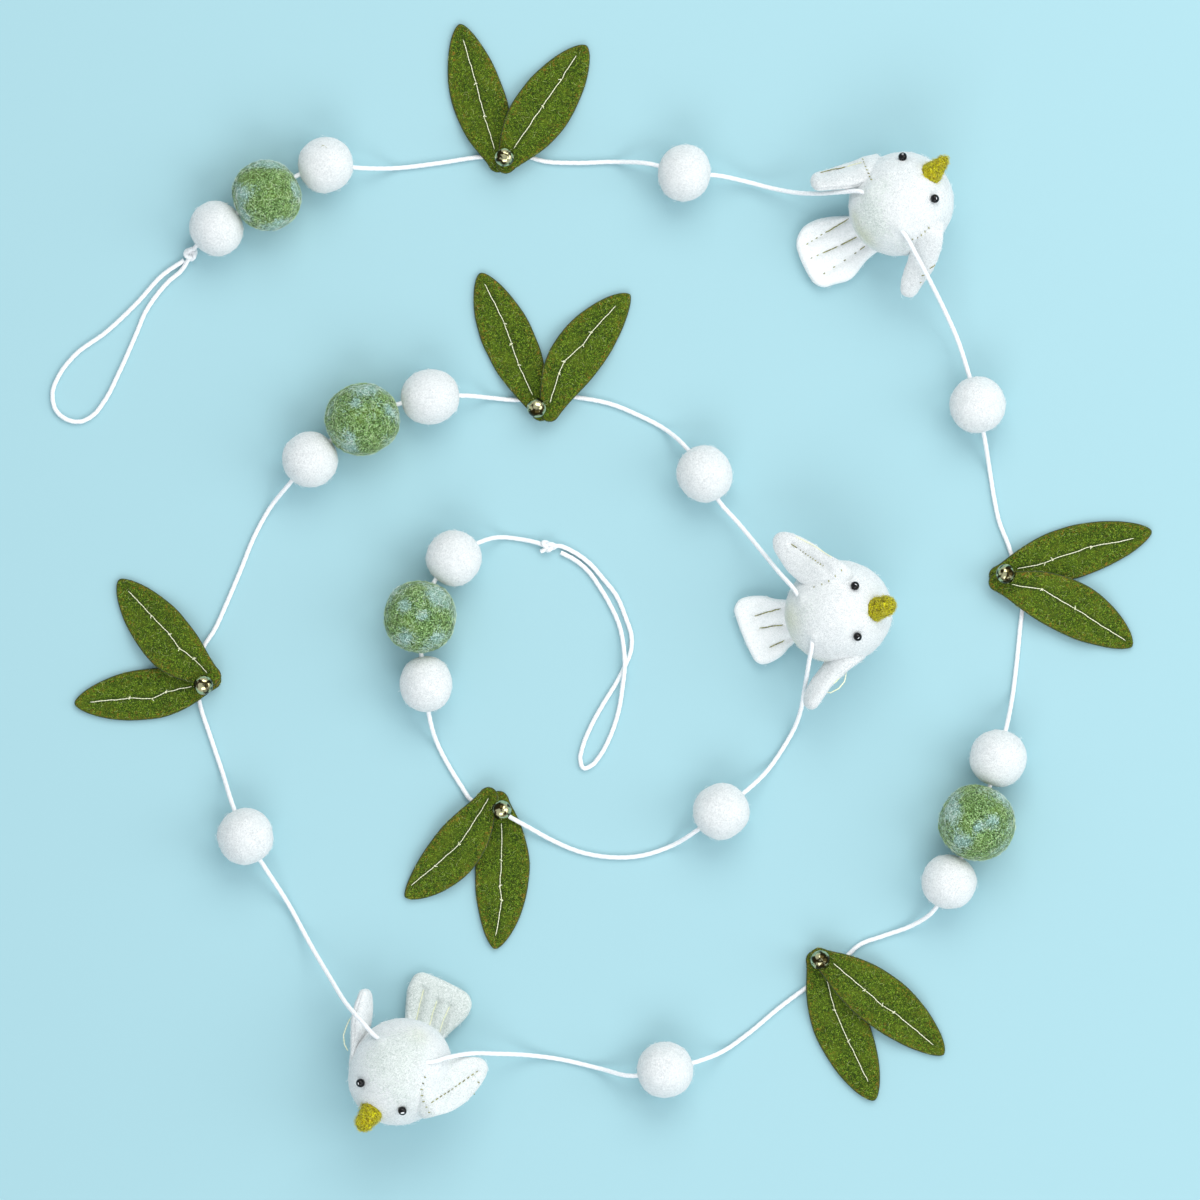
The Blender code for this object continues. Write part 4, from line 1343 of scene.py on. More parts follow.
@dataclass
class CordLine:
    """The one cord that carries the garland, from loop to loop."""

    diameter: float = CORD_DIAMETER
    step: float = 0.9
    channel_room: float = 0.06
    points: list[Vector] = field(default_factory=list)
    strung: tuple[int, int] = (0, 0)

    def __post_init__(self) -> None:
        """Put the middles of the balls and knots in the route."""
        middles = {held.node: held.middle for held in (*BALLS, *KNOTS)}
        route = [*OUTER_LOOP, *STRUNG, *INNER_LOOP]
        self.points = [middles[stop] if isinstance(stop, str) else Vector((*stop, CORD_REST)[:3])
                       for stop in route]
        self.strung = (len(OUTER_LOOP), len(OUTER_LOOP) + len(STRUNG))

    def smooth(self, first: int, last: int) -> list[Vector]:
        """A smooth curve through part of the route, never under the surface.

        Args:
            first: number of its first route point.
            last: number of the route point after its last.

        Returns:
            Points about one step apart, in millimetres.
        """
        steps = [(b - a).length for a, b in zip(self.points, self.points[1:])]
        runs = [(b - a) / step for a, b, step in zip(self.points, self.points[1:], steps)]
        slopes = [runs[0]]
        for i in range(1, len(runs)):
            share = steps[i] / (steps[i - 1] + steps[i])
            slopes.append(runs[i].lerp(runs[i - 1], share))
        slopes.append(runs[-1])
        line = [self.points[first].copy()]
        for i in range(first, last - 1):
            count = max(2, ceil(steps[i] / self.step))
            for k in range(1, count + 1):
                a, b = k / count, 1.0 - k / count
                place = (self.points[i] * (b * b * (1 + 2 * a))
                         + self.points[i + 1] * (a * a * (1 + 2 * b))
                         + slopes[i] * (steps[i] * a * b * b)
                         - slopes[i + 1] * (steps[i] * a * a * b))
                place.z = max(place.z, CORD_REST)
                line.append(place)
        return line

    def channel(self) -> Object:
        """The way that the cord takes through what is strung on it, as a shape to cut with.

        Returns:
            The cutter.
        """
        first, last = self.strung
        path = self.smooth(first - 1, last + 1)
        radius = self.diameter / 2 + self.channel_room
        return linked("cord_channel", swept("cord_channel", path, radius))

    def build(self, shop: Workshop) -> Object:
        """Args:
            shop: the node trees.

        Returns:
            The cord.
        """
        path = self.smooth(0, len(self.points))
        mesh = shop.grow("garland_cord", line_mesh([path]), shop.cord, WHITE_CORD,
                         Radius=self.diameter / 2 * MM, Twist=CORD_TWIST)
        made = dress(linked("garland_cord", mesh), WHITE_CORD, ["cord"])
        knots = [knot.build(shop) for knot in KNOTS]
        return made


# Felt leaves and beads

LEAF_BASE_STEPS = {Layer.LOWER: (15.0, 27.0), Layer.UPPER: (21.0, 32.0)}
LEAF_TIP_FALL = 13.0
LEAF_BASE_ROUND = 3.7


@dataclass(frozen=True)
class FeltLeaf:
    """A leaf cut from thick felt, its two sides bowed on their own, sewn along its vein."""

    node: str
    base: Place2
    tip: Place2
    left: float
    left_belly: float
    right: float
    right_belly: float
    base_height: float
    ledge_height: float
    ledge_end: float
    vein: tuple[Place2, ...]
    base_fullness: float = 0.76
    tip_fullness: float = 0.6
    groove_depth: float = 0.5
    groove_width: float = 0.8
    stations: int = 72
    top_points: int = 40
    under_points: int = 10

    @property
    def layer(self) -> Layer:
        """Whether the leaf lies over or under its partner."""
        return Layer.UPPER if self.ledge_end else Layer.LOWER

    @property
    def start(self) -> Vector:
        """The leaf's base point."""
        return Vector((*self.base, 0.0))

    @property
    def run(self) -> Vector:
        """From the base to the tip."""
        return Vector((*self.tip, 0.0)) - self.start

    @property
    def leftward(self) -> Vector:
        """The direction to the left of base to tip."""
        along = self.run.normalized()
        return Vector((-along.y, along.x, 0.0))

    def half_width(self, share: float, width: float, belly: float) -> float:
        """Width of one side of the leaf.

        Args:
            share: how far from base to tip.
            width: the side's greatest width.
            belly: where it is widest, a share of the length.

        Returns:
            The width there in millimetres.
        """
        if share < belly:
            full = width * sin(pi / 2 * share / belly) ** self.base_fullness
            reach = min(share * self.run.length, LEAF_BASE_ROUND)
            base = sqrt(max(0.0, reach * (2.0 * LEAF_BASE_ROUND - reach)))
            return min(width, (full ** 6 + base ** 6) ** (1.0 / 6.0))
        rest = (share - belly) / (1.0 - belly)
        return width * cos(pi / 2 * min(rest, 1.0)) ** self.tip_fullness

    def sides(self, share: float) -> tuple[float, float]:
        """Width to the left and to the right, a little uneven as cut by hand.

        Args:
            share: how far from base to tip.

        Returns:
            The two widths in millimetres.
        """
        spot = Vector((share * self.run.length, 0.0, 0.0))
        uneven = 0.5 * sin(pi * share)
        seed = self.base[0] + self.tip[1]
        left = self.half_width(share, self.left, self.left_belly)
        right = self.half_width(share, self.right, self.right_belly)
        return (left + uneven * (lump(spot, 9.0, seed) - 0.5),
                right + uneven * (lump(spot, 9.0, seed + 7.0) - 0.5))

    def height(self, distance: float) -> float:
        """Height of the leaf's underside.

        Args:
            distance: how far from its base, in millimetres.

        Returns:
            The height in millimetres.
        """
        off_cord = smooth_step(*LEAF_BASE_STEPS[self.layer], distance)
        height = self.base_height + (self.ledge_height - self.base_height) * off_cord
        if self.ledge_end:
            fall = smooth_step(self.ledge_end, self.ledge_end + LEAF_TIP_FALL, distance)
            height -= self.ledge_height * fall
        return height

    def vein_offset(self, share: float) -> float:
        """How far left of the straight line the vein runs.

        Args:
            share: how far from base to tip.

        Returns:
            The offset in millimetres.
        """
        spots = self.vein
        if share <= spots[0][0]:
            return spots[0][1]
        for (a, first), (b, second) in zip(spots, spots[1:]):
            if share <= b:
                return first + (second - first) * (share - a) / (b - a)
        return spots[-1][1]

    def section(self, share: float) -> tuple[list[Vector], list[float], list[float]]:
        """One cross-section of the leaf.

        Args:
            share: how far from base to tip.

        Returns:
            The ring's points, how far inside the cut edge each lies in millimetres, and how
            deep in the vein's groove, from 0 to 1.
        """
        left, right = self.sides(share)
        length = self.run.length
        round_half = min(FELT_THICKNESS / 2, (left + right) * 0.45)
        groove = self.groove_depth * smooth_step(self.vein[0][0] - 0.05, self.vein[0][0] + 0.03, share)
        groove *= 1.0 - smooth_step(self.vein[-1][0] - 0.03, self.vein[-1][0] + 0.05, share)
        vein = self.vein_offset(share)
        low, high = -right + round_half, left - round_half
        flat: list[Place2] = []
        sunk = [0.0] * (self.top_points + self.under_points + 6)
        for i in range(self.top_points):
            across = low + (high - low) * i / (self.top_points - 1)
            sunk[i] = groove * 2.0 * exp(-((across - vein) / self.groove_width) ** 2)
            flat.append((across, 2.0 * round_half - 0.5 * sunk[i]))
        for k in range(1, 4):
            angle = pi / 2 - pi * k / 4
            flat.append((high + round_half * cos(angle),
                         round_half + round_half * sin(angle)))
        flat += [(high + (low - high) * i / (self.under_points - 1), 0.0)
                 for i in range(self.under_points)]
        for k in range(1, 4):
            angle = -pi / 2 - pi * k / 4
            flat.append((low + round_half * cos(angle),
                         round_half + round_half * sin(angle)))
        middle = self.start.lerp(self.start + self.run, share)
        ring, inward = [], []
        for across, up in flat:
            place = middle + self.leftward * across
            wave = 0.25 if self.layer is Layer.UPPER else 0.15
            rise = wave * lump(place, 11.0, 4.0)
            rise += 0.5 * max(0.0, share - 0.7) * smooth_step(0.4, 1.0, abs(across) / 10.0)
            nap = 0.05 * lump(place, 1.3, 8.0) if up > 0.5 else 0.0
            place.z = self.height(share * length) + up + rise + nap
            ring.append(place)
            edge = min(across + right, left - across, share * length, (1.0 - share) * length)
            inward.append(edge)
        return ring, inward, sunk

    def flat_area(self) -> float:
        """The leaf's area laid flat.

        Returns:
            The area in square millimetres.
        """
        count = 200
        widths = [sum(self.sides((i + 0.5) / count)) for i in range(count)]
        return sum(widths) * self.run.length / count

    def build(self, rests_on: Sequence[str]) -> Object:
        """Args:
            rests_on: names of what it lies on; not used.

        Returns:
            The leaf.
        """
        rings, inward, grooves = [], [], []
        for i in range(self.stations + 1):
            share = 0.5 - 0.5 * cos(pi * (0.012 + 0.976 * i / self.stations))
            ring, edges, sunk = self.section(share)
            rings.append(ring)
            inward += edges
            grooves += sunk
        mesh = loft(self.node, rings)
        store_field(mesh, "inward", [*inward, 0.0, 0.0])
        store_field(mesh, "groove", [*grooves, 0.0, 0.0])
        made = dress(linked(f"{self.node}_felt", mesh), LEAF_FELT, [self.node])
        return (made, self.flat_area() * MM * MM)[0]

    def vein_line(self, shares: tuple[float, float]) -> list[Place2]:
        """Points of the vein between two of its stitch ends, from above.

        Args:
            shares: where both ends lie, in shares of the length.

        Returns:
            Points about a millimetre apart.
        """
        count = max(2, round((shares[1] - shares[0]) * self.run.length))
        line = []
        for i in range(count + 1):
            share = shares[0] + (shares[1] - shares[0]) * i / count
            place = self.start.lerp(self.start + self.run, share)
            wander = 0.7 * (lump(place, 2.6, self.base[0]) - 0.5)
            place += self.leftward * (self.vein_offset(share) + wander)
            line.append((place.x, place.y))
        return line


# Leaves: node, base, tip, then width and belly of the left and of the right side, height of
# the base, of the ledge over the partner and where it ends, and the vein's stitch ends as
# share of the length and offset to the left
LEAVES = (
    FeltLeaf("leaf_1_left", (-43.9, 159.0), (-59.9, 217.2), 11.1, 0.5, 10.0, 0.43, 2.2, 0.0, 0.0,
             ((0.15, -0.3), (0.38, 0.3), (0.6, 0.0), (0.9, 0.3))),
    FeltLeaf("leaf_1_right", (-43.9, 159.0), (-10.2, 208.8), 11.6, 0.48, 11.0, 0.5, 4.55, 2.4, 31.0,
             ((0.17, 0.9), (0.51, 0.8), (0.72, 0.7), (0.91, 1.1))),
    FeltLeaf("leaf_2_left", (147.6, 0.0), (211.4, 18.4), 10.9, 0.5, 9.6, 0.5, 2.2, 0.0, 0.0,
             ((0.17, 0.5), (0.34, -0.5), (0.39, 0.1), (0.63, 0.7), (0.89, -0.9))),
    FeltLeaf("leaf_2_right", (147.6, 0.0), (203.8, -26.8), 13.9, 0.52, 7.4, 0.55, 4.55, 2.4, 41.0,
             ((0.14, 1.4), (0.33, 4.9), (0.57, 3.7), (0.95, 0.9))),
    FeltLeaf("leaf_3_left", (78.0, -146.2), (129.9, -186.8), 12.2, 0.5, 8.8, 0.5, 4.55, 2.4, 44.0,
             ((0.14, 1.6), (0.39, 0.9), (0.53, 0.3), (0.61, 1.1), (0.92, 0.5))),
    FeltLeaf("leaf_3_right", (78.0, -146.2), (102.7, -204.8), 10.0, 0.5, 11.5, 0.5, 2.2, 0.0, 0.0,
             ((0.14, 1.6), (0.39, -0.6), (0.6, -0.4), (0.88, 0.5))),
    FeltLeaf("leaf_4_left", (-153.3, -39.2), (-210.9, -49.2), 11.3, 0.47, 8.8, 0.56, 2.2, 0.0, 0.0,
             ((0.2, 1.2), (0.38, 1.7), (0.48, 3.3), (0.63, 1.6), (0.9, 0.5))),
    FeltLeaf("leaf_4_right", (-154.4, -41.0), (-193.5, -0.6), 13.2, 0.43, 8.2, 0.56, 4.55, 2.4, 31.0,
             ((0.1, 0.5), (0.24, 0.3), (0.36, 1.6), (0.48, 0.6), (0.66, 0.6), (0.9, 0.4))),
    FeltLeaf("leaf_5_left", (-26.6, 61.8), (-51.9, 119.6), 10.4, 0.56, 10.0, 0.52, 2.2, 0.0, 0.0,
             ((0.17, 0.3), (0.38, 0.6), (0.52, -0.1), (0.65, -0.8), (0.93, 0.1))),
    FeltLeaf("leaf_5_right", (-26.6, 61.8), (6.8, 111.3), 14.1, 0.47, 6.6, 0.55, 4.55, 2.4, 31.0,
             ((0.11, 2.1), (0.31, 5.6), (0.39, 6.5), (0.55, 4.1), (0.65, 4.1), (0.89, 2.0))),
    FeltLeaf("leaf_6_left", (-46.3, -82.7), (-81.3, -125.2), 13.2, 0.52, 6.4, 0.5, 4.5, 2.4, 38.0,
             ((0.07, 0.6), (0.46, 3.1), (0.69, 1.2), (0.91, -1.2))),
    FeltLeaf("leaf_6_right", (-44.4, -83.4), (-46.1, -145.4), 12.7, 0.5, 8.6, 0.52, 0.0, 0.0, 0.0,
             ((0.2, 1.3), (0.44, 1.7), (0.6, 1.2), (0.69, 2.2), (0.92, 0.2))),
)


@dataclass(frozen=True)
class BrassBead:
    """A round polished bead, bored for the thread that sews it on."""

    node: str
    x: float
    y: float
    seat: float
    heading: float
    radius: float = 3.9
    bore: float = 0.65
    sides: int = 48
    steps: int = 36

    def build(self) -> Object:
        """Make the bead.

        Returns:
            The bead.
        """
        middle = Vector((self.x, self.y, self.seat + self.radius))
        angle = radians(self.heading)
        axis = Vector((cos(angle), sin(angle), 0.12)).normalized()
        mesh = turned(self.node, bored_profile(self.radius, self.bore, self.steps), self.sides,
                      middle, axis)
        return dress(linked(f"{self.node}_brass", mesh), BRASS, [self.node])


def bored_profile(radius: float, bore: float, steps: int) -> list[Place2]:
    """Profile of a sphere with a hole through it, its lips rounded.

    Args:
        radius: the sphere's radius in millimetres.
        bore: the hole's radius.
        steps: how many points the outer curve has.

    Returns:
        Radius and height of each point, closed round the bore.
    """
    lip = 0.25
    edge = asin((bore + lip) / radius)
    points = []
    for i in range(steps + 1):
        angle = edge + (pi - 2.0 * edge) * i / steps
        points.append((radius * sin(angle), radius * cos(angle)))
    foot = radius * cos(edge)
    return [*points, (bore, -foot + lip), (bore, 0.0), (bore, foot - lip)]


def bead_seat(leaf: FeltLeaf, settled: float) -> float:
    """Height at which a bead rests on a leaf's base, in millimetres."""
    return leaf.base_height + FELT_THICKNESS + BEAD_SEAT_GAP - settled


OVER_ALL = 80.0         # a height over every piece
BODY_HEIGHT = 20.0      # about the middle of a bird


@dataclass(frozen=True)
class ThreadWork:
    """Sewing on one sub-assembly: lines laid on its surfaces, then grown by the trees."""

    name: str
    shop: Workshop
    surfaces: dict[str, BVHTree]
    seed: int

    def laid(self, piece: str, line: Sequence[Place2], proud: float,
             ends_sunk: float = 0.0) -> list[Vector]:
        """Drop a line from above onto a piece.

        Args:
            piece: name of the piece that it lies on, or nothing for the uppermost piece.
            line: x and y of its points in millimetres.
            proud: how far its middle stands off the surface.
            ends_sunk: how far its two ends go into the felt.

        Returns:
            The line on the surface, in millimetres.
        """
        trees = [self.surfaces[piece]] if piece else list(self.surfaces.values())
        points = []
        for i, (x, y) in enumerate(line):
            above = Vector((x, y, OVER_ALL)) * MM
            found = [tree.ray_cast(above, -UP) for tree in trees]
            hits = [(hit.z, hit, normal) for hit, normal, _, _ in found if hit is not None]
            if hits:
                _, hit, normal = max(hits, key=lambda held: held[0])
            else:
                hit, normal, _, _ = trees[0].find_nearest(Vector((x, y, BODY_HEIGHT)) * MM)
            sunk = ends_sunk if i in (0, len(line) - 1) else 0.0
            points.append(hit / MM + normal * (proud - sunk))
        return points

    def finish(self, parts: Sequence[Mesh], finish: Finish) -> Object:
        """Join the sewing into one piece.

        Args:
            parts: what the trees have grown.
            finish: the thread.

        Returns:
            The sewing.
        """
        mesh = joined(self.name, parts)
        mesh.shade_smooth()
        return dress(linked(self.name, mesh), finish)


@dataclass(frozen=True)
class LeafPair:
    """Two felt leaves, one lapped over the other, with a bead at their bases."""

    number: int
    left: FeltLeaf
    right: FeltLeaf
    bead: BrassBead

    def sew(self, shop: Workshop, leaves: Mapping[str, Object]) -> Object:
        """Sew the veins in long stitches, with a knot where two of them meet.

        Args:
            shop: the node trees.
            leaves: the two leaves by node name.

        Returns:
            The sewing.
        """
        surfaces = {name: surface_tree(held) for name, held in leaves.items()}
        work = ThreadWork(f"leaf_pair_{self.number}_veins", shop, surfaces, self.number)
        stitches, joints = [], []
        for leaf in (self.left, self.right):
            ends = [share for share, _ in leaf.vein]
            for pair in zip(ends, ends[1:]):
                stitches.append(work.laid(leaf.node, leaf.vein_line(pair), 0.16, 0.35))
            for k, (share, offset) in enumerate(leaf.vein[1:-1]):
                place = leaf.start.lerp(leaf.start + leaf.run, share) + leaf.leftward * offset
                joints += work.laid(leaf.node, [(place.x, place.y)], 0.2)
                side = leaf.leftward * (1.1 if k % 2 else -0.9) - leaf.run.normalized() * 0.5
                spur = [place + side * (0.25 * n) for n in range(5)]
                stitches.append(work.laid(leaf.node, [(at.x, at.y) for at in spur], 0.16, 0.25))
        thread = shop.grow("veins", line_mesh(stitches), shop.thread, PALE_AND_LIT_GOLD,
                           Radius=0.17 * MM, Twist=THREAD_TWIST)
        knots = shop.grow("vein_knots", line_mesh([[joint] for joint in joints]), shop.knots,
                          PALE_AND_LIT_GOLD, Size=0.3 * MM, Seed=self.number)
        return work.finish([thread, knots], PALE_AND_LIT_GOLD)

    def build(self, shop: Workshop) -> list[Object]:
        """Make both leaves, their sewing and the bead.

        Args:
            shop: the node trees.

        Returns:
            The two leaves.
        """
        made = {}
        for leaf in (self.left, self.right):
            rests_on = ["garland_cord"]
            if leaf.layer is Layer.UPPER:
                partner = self.right if leaf is self.left else self.left
                rests_on.append(partner.node)
            made[leaf.node] = leaf.build(rests_on)
        self.sew(shop, made)
        self.bead.build()
        return list(made.values())


def surface_tree(made: Object) -> BVHTree:
    """A piece's surface for dropping lines onto it.

    Args:
        made: the piece.

    Returns:
        The tree of its faces.
    """
    shape = bmesh.new()
    shape.from_mesh(made.data)
    tree = BVHTree.FromBMesh(shape)
    shape.free()
    return tree


# Beads: x, y, the leaf that carries it, how far it settles past the leaf's edge, heading
BEADS = (
    (-42.3, 164.9, "leaf_1_right", 0.0, 5.0), (154.0, 1.6, "leaf_2_right", 0.0, -80.0),
    (81.4, -149.6, "leaf_3_left", 0.0, -140.0), (-160.2, -41.8, "leaf_4_right", 0.1, 95.0),
    (-29.6, 66.7, "leaf_5_right", 0.25, 15.0), (-43.5, -90.9, "leaf_6_left", 0.6, 150.0),
)


# Birds


@dataclass(frozen=True)
class BirdBody:
    """A needle-felted egg, dented at the eyes and swollen where the cord goes in."""

    node: str
    x: float
    y: float
    heading: float
    half_length: float
    half_width: float
    half_height: float
    dents: tuple[tuple[float, float, float, float], ...]
    seed: float
    # grey spots, partly grey wool and partly painted shade on the side away from the light: x, y, size
    # and strength
    shades: tuple[tuple[float, float, float, float], ...] = ()
    # yellow-green painted reflection spots, as at the tail's root: x, y, size and strength
    painted_reflections: tuple[tuple[float, float, float, float], ...] = ()

    @property
    def middle(self) -> Vector:
        """The body's middle, its flat spot on the surface."""
        return Vector((self.x, self.y, self.half_height * BODY_FLAT))

    @property
    def turn(self) -> Matrix:
        """The turn from the body's own axes to the frame's."""
        return Matrix.Rotation(radians(self.heading), 3, "Z")

    @property
    def halves(self) -> Vector:
        """The three half sizes."""
        return Vector((self.half_length, self.half_width, self.half_height))

    def over(self, x: float, y: float) -> tuple[Vector, Vector]:
        """The place and outward direction of the upper surface over a point.

        Args:
            x: to the right, in millimetres.
            y: up the picture.

        Returns:
            The place and the direction.
        """
        local = self.turn.inverted() @ Vector((x - self.x, y - self.y, 0.0))
        reach = (local.x / self.half_length) ** 2 + (local.y / self.half_width) ** 2
        local.z = self.half_height * sqrt(max(0.0, 1.0 - reach))
        outward = Vector([value / half ** 2 for value, half in zip(local, self.halves)])
        return self.middle + self.turn @ local, (self.turn @ outward).normalized()

    def build(self) -> Object:
        """Make the body, not yet bored, so that the other pieces can be fitted to it.

        Returns:
            The body.
        """
        shape = bmesh.new()
        bmesh.ops.create_icosphere(shape, subdivisions=6, radius=1.0)
        spots = [(self.over(x, y)[0], depth, width) for x, y, depth, width in self.dents]
        for vert in shape.verts:
            way = vert.co.normalized()
            out = Vector([a * b for a, b in zip(way, self.halves)])
            place = self.middle + self.turn @ out
            fall = 0.55 * lump(out, 13.0, self.seed) + 0.35 * lump(out, 5.0, self.seed + 4.0)
            fall += 0.1 * lump(out, 1.5, self.seed + 8.0)
            fall += sum(depth * exp(-((place - spot).length / width) ** 2)
                        for spot, depth, width in spots)
            place -= self.turn @ way * fall
            place.z = max(place.z, 0.0)
            vert.co = place * MM
        mesh = bpy.data.meshes.new(self.node)
        shape.to_mesh(mesh)
        shape.free()
        mesh.shade_smooth()
        return linked(f"{self.node}_wool", mesh)

    def shade(self, mesh: Mesh) -> None:
        """Store the grey spots, partly grey wool and partly painted shade, and the yellow painted
        reflection.

        Args:
            mesh: the body's mesh, with nothing more to be cut.
        """
        for name, spots in (("patch", self.shades), ("painted_reflection", self.painted_reflections)):
            middles = [(self.over(x, y)[0], size, share) for x, y, size, share in spots]
            store_field(mesh, name, [
                sum(share * exp(-((vert.co / MM - spot).length / size) ** 2)
                    for spot, size, share in middles) for vert in mesh.vertices])


WING_SHARES = (-0.3, 0.0, 0.25, 0.5, 0.75, 0.95)


@dataclass(frozen=True)
class Wing:
    """A stuffed felt wing: two layers sewn round the edge, its root fitted to the body.

    Its left and right edges, seen from above, stand at given distances from the line from root
    to tip, and its section leans so that one edge is higher.
    """

    node: str
    root: Place3
    tip: Place3
    left: tuple[float, ...]
    right: tuple[float, ...]
    half_height: float
    lean: float
    creases: tuple[Run2, ...] = ()
    rise: float = 0.0
    sink: float = 60.0
    hidden_share: float = 0.42
    painted_shade: float = 0.0
    tip_squareness: float = 2.4
    crease_depth: float = 0.9
    # painted shade: greys the whole wing through its stored patch value
    crease_width: float = 1.0
    seam_depth: float = 0.5
    seam_width: float = 0.13
    stations: int = 60
    points: int = 60

    def section(self, share: float) -> list[Vector]:
        """One cross-section: a full pad with a groove at each seam.

        Args:
            share: how far from root to tip, below 0 inside the body.

        Returns:
            The ring's points.
        """
        root, tip = Vector(self.root), Vector(self.tip)
        level = UP.cross(tip - root).normalized()
        left = read_table(WING_SHARES, self.left, share)
        right = read_table(WING_SHARES, self.right, share)
        cap = (self.left[-1] + self.right[-1]) / 2 / (tip - root).length
        closing = max(0.0, 1.0 - (1.0 - share) / cap)
        rounding = sqrt(max(0.0, 1.0 - closing ** self.tip_squareness))
        rounding *= 0.05 + 0.95 * smooth_step(-self.hidden_share, -0.2, share)
        wide = (left + right) / 2 * rounding
        high = self.half_height * (1.0 - 0.3 * max(0.0, share) ** 2) * rounding
        lean = radians(self.lean)
        seam = 0.5 * atan2(high ** 2 * sin(2.0 * lean), wide ** 2 - high ** 2 * cos(2.0 * lean))
        middle = root.lerp(tip, share) + level * ((left - right) / 2)
        middle.z += self.rise * smooth_step(0.6, 0.0, share)
        if share < 0.0:
            middle.z = root.z + self.rise - self.sink * share ** 2
        ring = []
        for i in range(self.points):
            angle = 2.0 * pi * i / self.points
            out = level * (wide * cos(angle)) + UP * (high * sin(angle + lean))
            place = middle + out
            fall = 0.6 * (lump(place, 5.0, 3.0) - 0.4) + 0.1 * lump(place, 1.4, 6.0)
            fall += (exp(-(sin(angle - seam) / self.seam_width) ** 2)
                     * min(self.seam_depth, 0.12 * wide))
            place -= out.normalized() * (fall * rounding)
            if out.z > 0.0:
                place.z -= dent(place, self.creases, self.crease_depth, self.crease_width)
            ring.append(place)
        return ring

    def build(self, body: Object) -> Object:
        """Args:
            body: the body that it is sewn to.

        Returns:
            The wing.
        """
        span = 0.998 + self.hidden_share
        shares = [span * (0.5 - 0.5 * cos(pi * i / self.stations)) - self.hidden_share
                  for i in range(self.stations + 1)]
        made = linked(f"{self.node}_felt", loft(self.node, [self.section(s) for s in shares]))
        cut_away(made, body)
        store_field(made.data, "patch", [self.painted_shade] * len(made.data.vertices))
        dress(made, WHITE_FELT, [self.node])
        return made


@dataclass(frozen=True)
class Tail:
    """A stuffed felt tail: a fan with a squared end, parted into feathers by sewn channels."""

    node: str
    root: Place2
    tip: Place2
    distances: tuple[float, ...]
    halves: tuple[float, ...]
    corners: tuple[float, float]
    channels: tuple[Run2, ...]
    end_gap: float = 0.3
    end_bow: float = 1.0
    skew: float = 0.0
    bulge: float = 0.0
    bulge_distance: float = 15.0
    bulge_reach: float = 5.0
    # painted shade: greys the whole tail through its stored patch value
    painted_shade: float = 0.0
    thickness: float = 5.4
    rim_start: float = 0.04
    rim_width: float = 2.4
    channel_depth: float = 1.5
    channel_width: float = 1.15
    bow_reach: float = 9.0
    root_lift: float = 4.5
    stations: int = 64
    points: int = 64

    def half_width(self, distance: float, side: float) -> float:
        """How far one side of the fan reaches.

        Args:
            distance: how far before the fan's end.
            side: above 0 for the left of root to tip, below 0 for the right.

        Returns:
            The half width in millimetres.
        """
        corner = self.corners[0] if side > 0.0 else self.corners[1]
        inset = max(0.0, corner - distance)
        full = read_table(self.distances, self.halves, distance)
        if side > 0.0:
            off = (distance - self.bulge_distance) / self.bulge_reach
            full += self.bulge * exp(-off ** 2)
        return full - corner + sqrt(max(0.0, corner ** 2 - inset ** 2))

    def section(self, distance: float) -> list[Vector]:
        """One cross-section: puffed lobes between the channels, thin round the rim.

        Args:
            distance: how far before the fan's end, in millimetres.

        Returns:
            The ring's points.
        """
        start, end = Vector((*self.root, 0.0)), Vector((*self.tip, 0.0))
        along = (end - start).normalized()
        beside = Vector((-along.y, along.x, 0.0))
        share = 1.0 - (distance + self.end_gap) / (end - start).length
        lift = self.root_lift * max(0.0, 1.0 - share / 0.6) ** 2
        widest = max(self.halves)
        ring = []
        for i in range(self.points):
            angle = 2.0 * pi * i / self.points
            side = cos(angle)
            half = self.half_width(distance, side)
            across = half * side
            rim = min(1.0, min(half - abs(across), distance) / self.rim_width)
            swell = self.thickness / 2 * sqrt(max(0.0, 1.0 - (1.0 - rim) ** 2))
            pull = self.end_bow * (across / widest) ** 2 + self.skew * across / widest
            pull *= exp(-distance / self.bow_reach)
            place = end - along * (distance + self.end_gap + pull)
            place += beside * across
            nap = 0.35 * lump(place, 5.0, 2.0) + 0.1 * lump(place, 1.4, 6.0)
            place.z = lift + self.thickness / 2
            if sin(angle) > 0.0:
                sewn = dent(place, self.channels, self.channel_depth, self.channel_width)
                place.z += swell - rim * (nap + sewn)
            else:
                place.z -= swell
            ring.append(place)
        return ring

    def build(self, body: Object) -> Object:
        """Args:
            body: the body that it is sewn under.

        Returns:
            The tail.
        """
        length = (Vector(self.tip) - Vector(self.root)).length - self.end_gap
        distances = [self.rim_start + (length - self.rim_start) * (i / self.stations) ** 1.7
                     for i in range(self.stations + 1)]
        made = linked(f"{self.node}_felt", loft(self.node, [self.section(d) for d in distances]))
        cut_away(made, body)
        store_field(made.data, "patch", [self.painted_shade] * len(made.data.vertices))
        # a tail without painted shade gets the lighter copy of the felt, as painted light
        dress(made, WHITE_FELT if self.painted_shade else PAINTED_LIGHT_FELT, [self.node])
        return made


